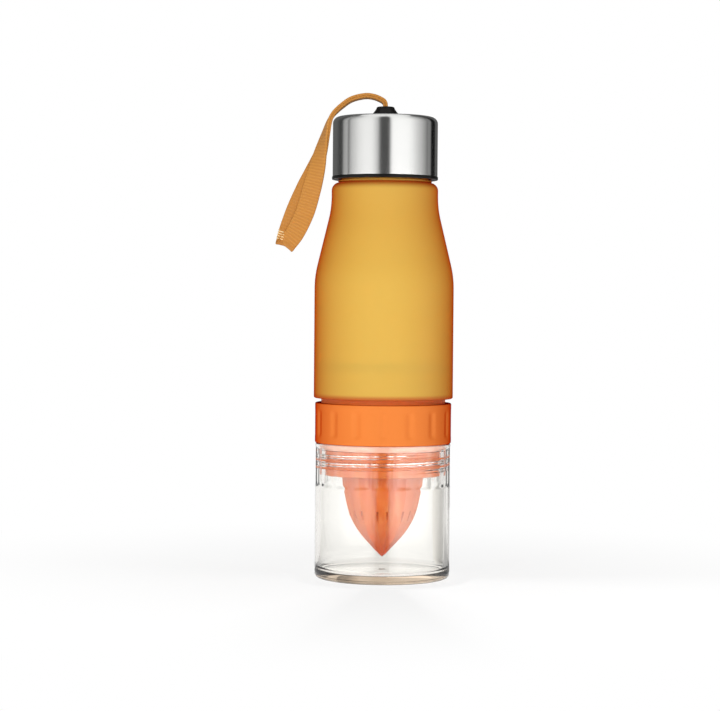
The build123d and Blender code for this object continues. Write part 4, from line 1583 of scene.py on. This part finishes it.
# The same for the lowest part of the ring
LOW_STRIPS = (
    (-178, 0.18), (-110, 0.18), (-74, 0.44), (-26, 0.54), (-13, 0.3), (-9, 0.05),
    (9, 0.05), (13, 0.4), (26, 0.74), (74, 0.6), (100, 0.18), (150, 0.13), (178, 0.18),
)


def new_light(name):
    """A material that only shines: returns it, its tree, its light and its coordinates."""
    material, tree, shader, place = new_material(name)
    tree.nodes.remove(shader)
    light = node(tree, "ShaderNodeEmission")
    fill(tree.nodes["Material Output"], Surface=light.outputs[0])
    return material, tree, light, place


def bearing_of(tree, across, away):
    """Direction round an upright line, 0 on the camera's side, in radians."""
    return math_node(tree, "ARCTAN2", across, math_node(tree, "MULTIPLY", away, -1.0))


def strip_ramp(tree, share_round, strips):
    """A colour ramp with one grey stop for each direction. Its greys are shares of
    RAMP_TOP, because a ramp's colours are kept at or below 1."""
    ramp = node(tree, "ShaderNodeValToRGB", Fac=share_round)
    stops = ramp.color_ramp.elements
    while len(stops) < len(strips):
        stops.new(0.5)
    for stop, (degrees_right, level) in zip(stops, strips):
        grey = level / RAMP_TOP
        stop.position = 0.5 + degrees_right / 360
        stop.color = (grey, grey, grey, 1.0)
    return ramp.outputs["Color"]


studio_strips, tree, light, place = new_light("studio_strips")
parts = node(tree, "ShaderNodeSeparateXYZ", Vector=place).outputs
bearing = bearing_of(tree, parts["X"], parts["Y"])
share_round = vary(tree, bearing, swing=1 / tau, base=0.5)
fade_band = (LOW_BOX_TOP - LOW_BOX_FADE, LOW_BOX_TOP)
low_part = height_mask(tree, place, *fade_band, start=1.0, end=0.0)
gain = height_mask(tree, place, *fade_band, RAMP_TOP * LOW_BOX_GAIN, RAMP_TOP)
near_bottle = ranged(tree, distance_out(tree, place), 0.05, 0.32, start=0.5, end=1.0)
high_strips = strip_ramp(tree, share_round, STRIPS)
low_strips = strip_ramp(tree, share_round, LOW_STRIPS)
fill(
    light, Color=mix_colour(tree, low_part, high_strips, low_strips),
    Strength=math_node(tree, "MULTIPLY", gain, near_bottle),
)
for sheet in (skirt, ring_front, ring_back):
    dress(sheet, studio_strips)
print("Reflection ring of", len(STRIPS), "stops")

# %% [markdown]
# The right wall of the clear cup looks grey, because what is seen through it is not
# the white backdrop but something duller behind it. A tall grey card stands there, out
# of the camera's sight and of all reflections, so only the light that the cup bends
# meets it. Its brightness falls towards the end that is further out to the side.

# %% Grey card behind the right side
CARD_PIVOT = 28.0
CARD_COLUMNS = 21
CARD_RADIUS, CARD_NEAR, CARD_LIFT = 340.0, 24.0, 0.06
CARD_FIRST, CARD_LAST = 159.0, 174.0
CARD_DARK_FROM, CARD_DARKER_FROM = 167.0, 163.0
CARD_BRIGHT, CARD_DARK, CARD_DARKER_BY = 0.93, 0.42, -0.2
card_profile = [(CARD_RADIUS, RING_HIGH), (CARD_RADIUS, CARD_LIFT), (CARD_NEAR, CARD_LIFT)]
grey_card = studio_sheet(
    "grey_card", card_profile, CARD_FIRST, CARD_LAST, CARD_COLUMNS, pivot=CARD_PIVOT,
)
grey_card.visible_glossy = False
card_paint, tree, light, place = new_light("grey_card")
parts = node(tree, "ShaderNodeSeparateXYZ", Vector=place).outputs
across = math_node(tree, "SUBTRACT", parts["X"], CARD_PIVOT * MM)
bearing = bearing_of(tree, across, parts["Y"])
shading = ranged(
    tree, bearing, radians(CARD_LAST), radians(CARD_DARK_FROM), CARD_BRIGHT, CARD_DARK,
)
more_shading = ranged(
    tree, bearing, radians(CARD_DARKER_FROM), radians(CARD_FIRST), 0.0, CARD_DARKER_BY,
)
strength = math_node(tree, "ADD", shading, more_shading)
fill(light, Color=(1.0, 0.975, 0.94), Strength=strength)
dress(grey_card, card_paint)
print("Grey card from", CARD_FIRST, "to", CARD_LAST, "degrees")
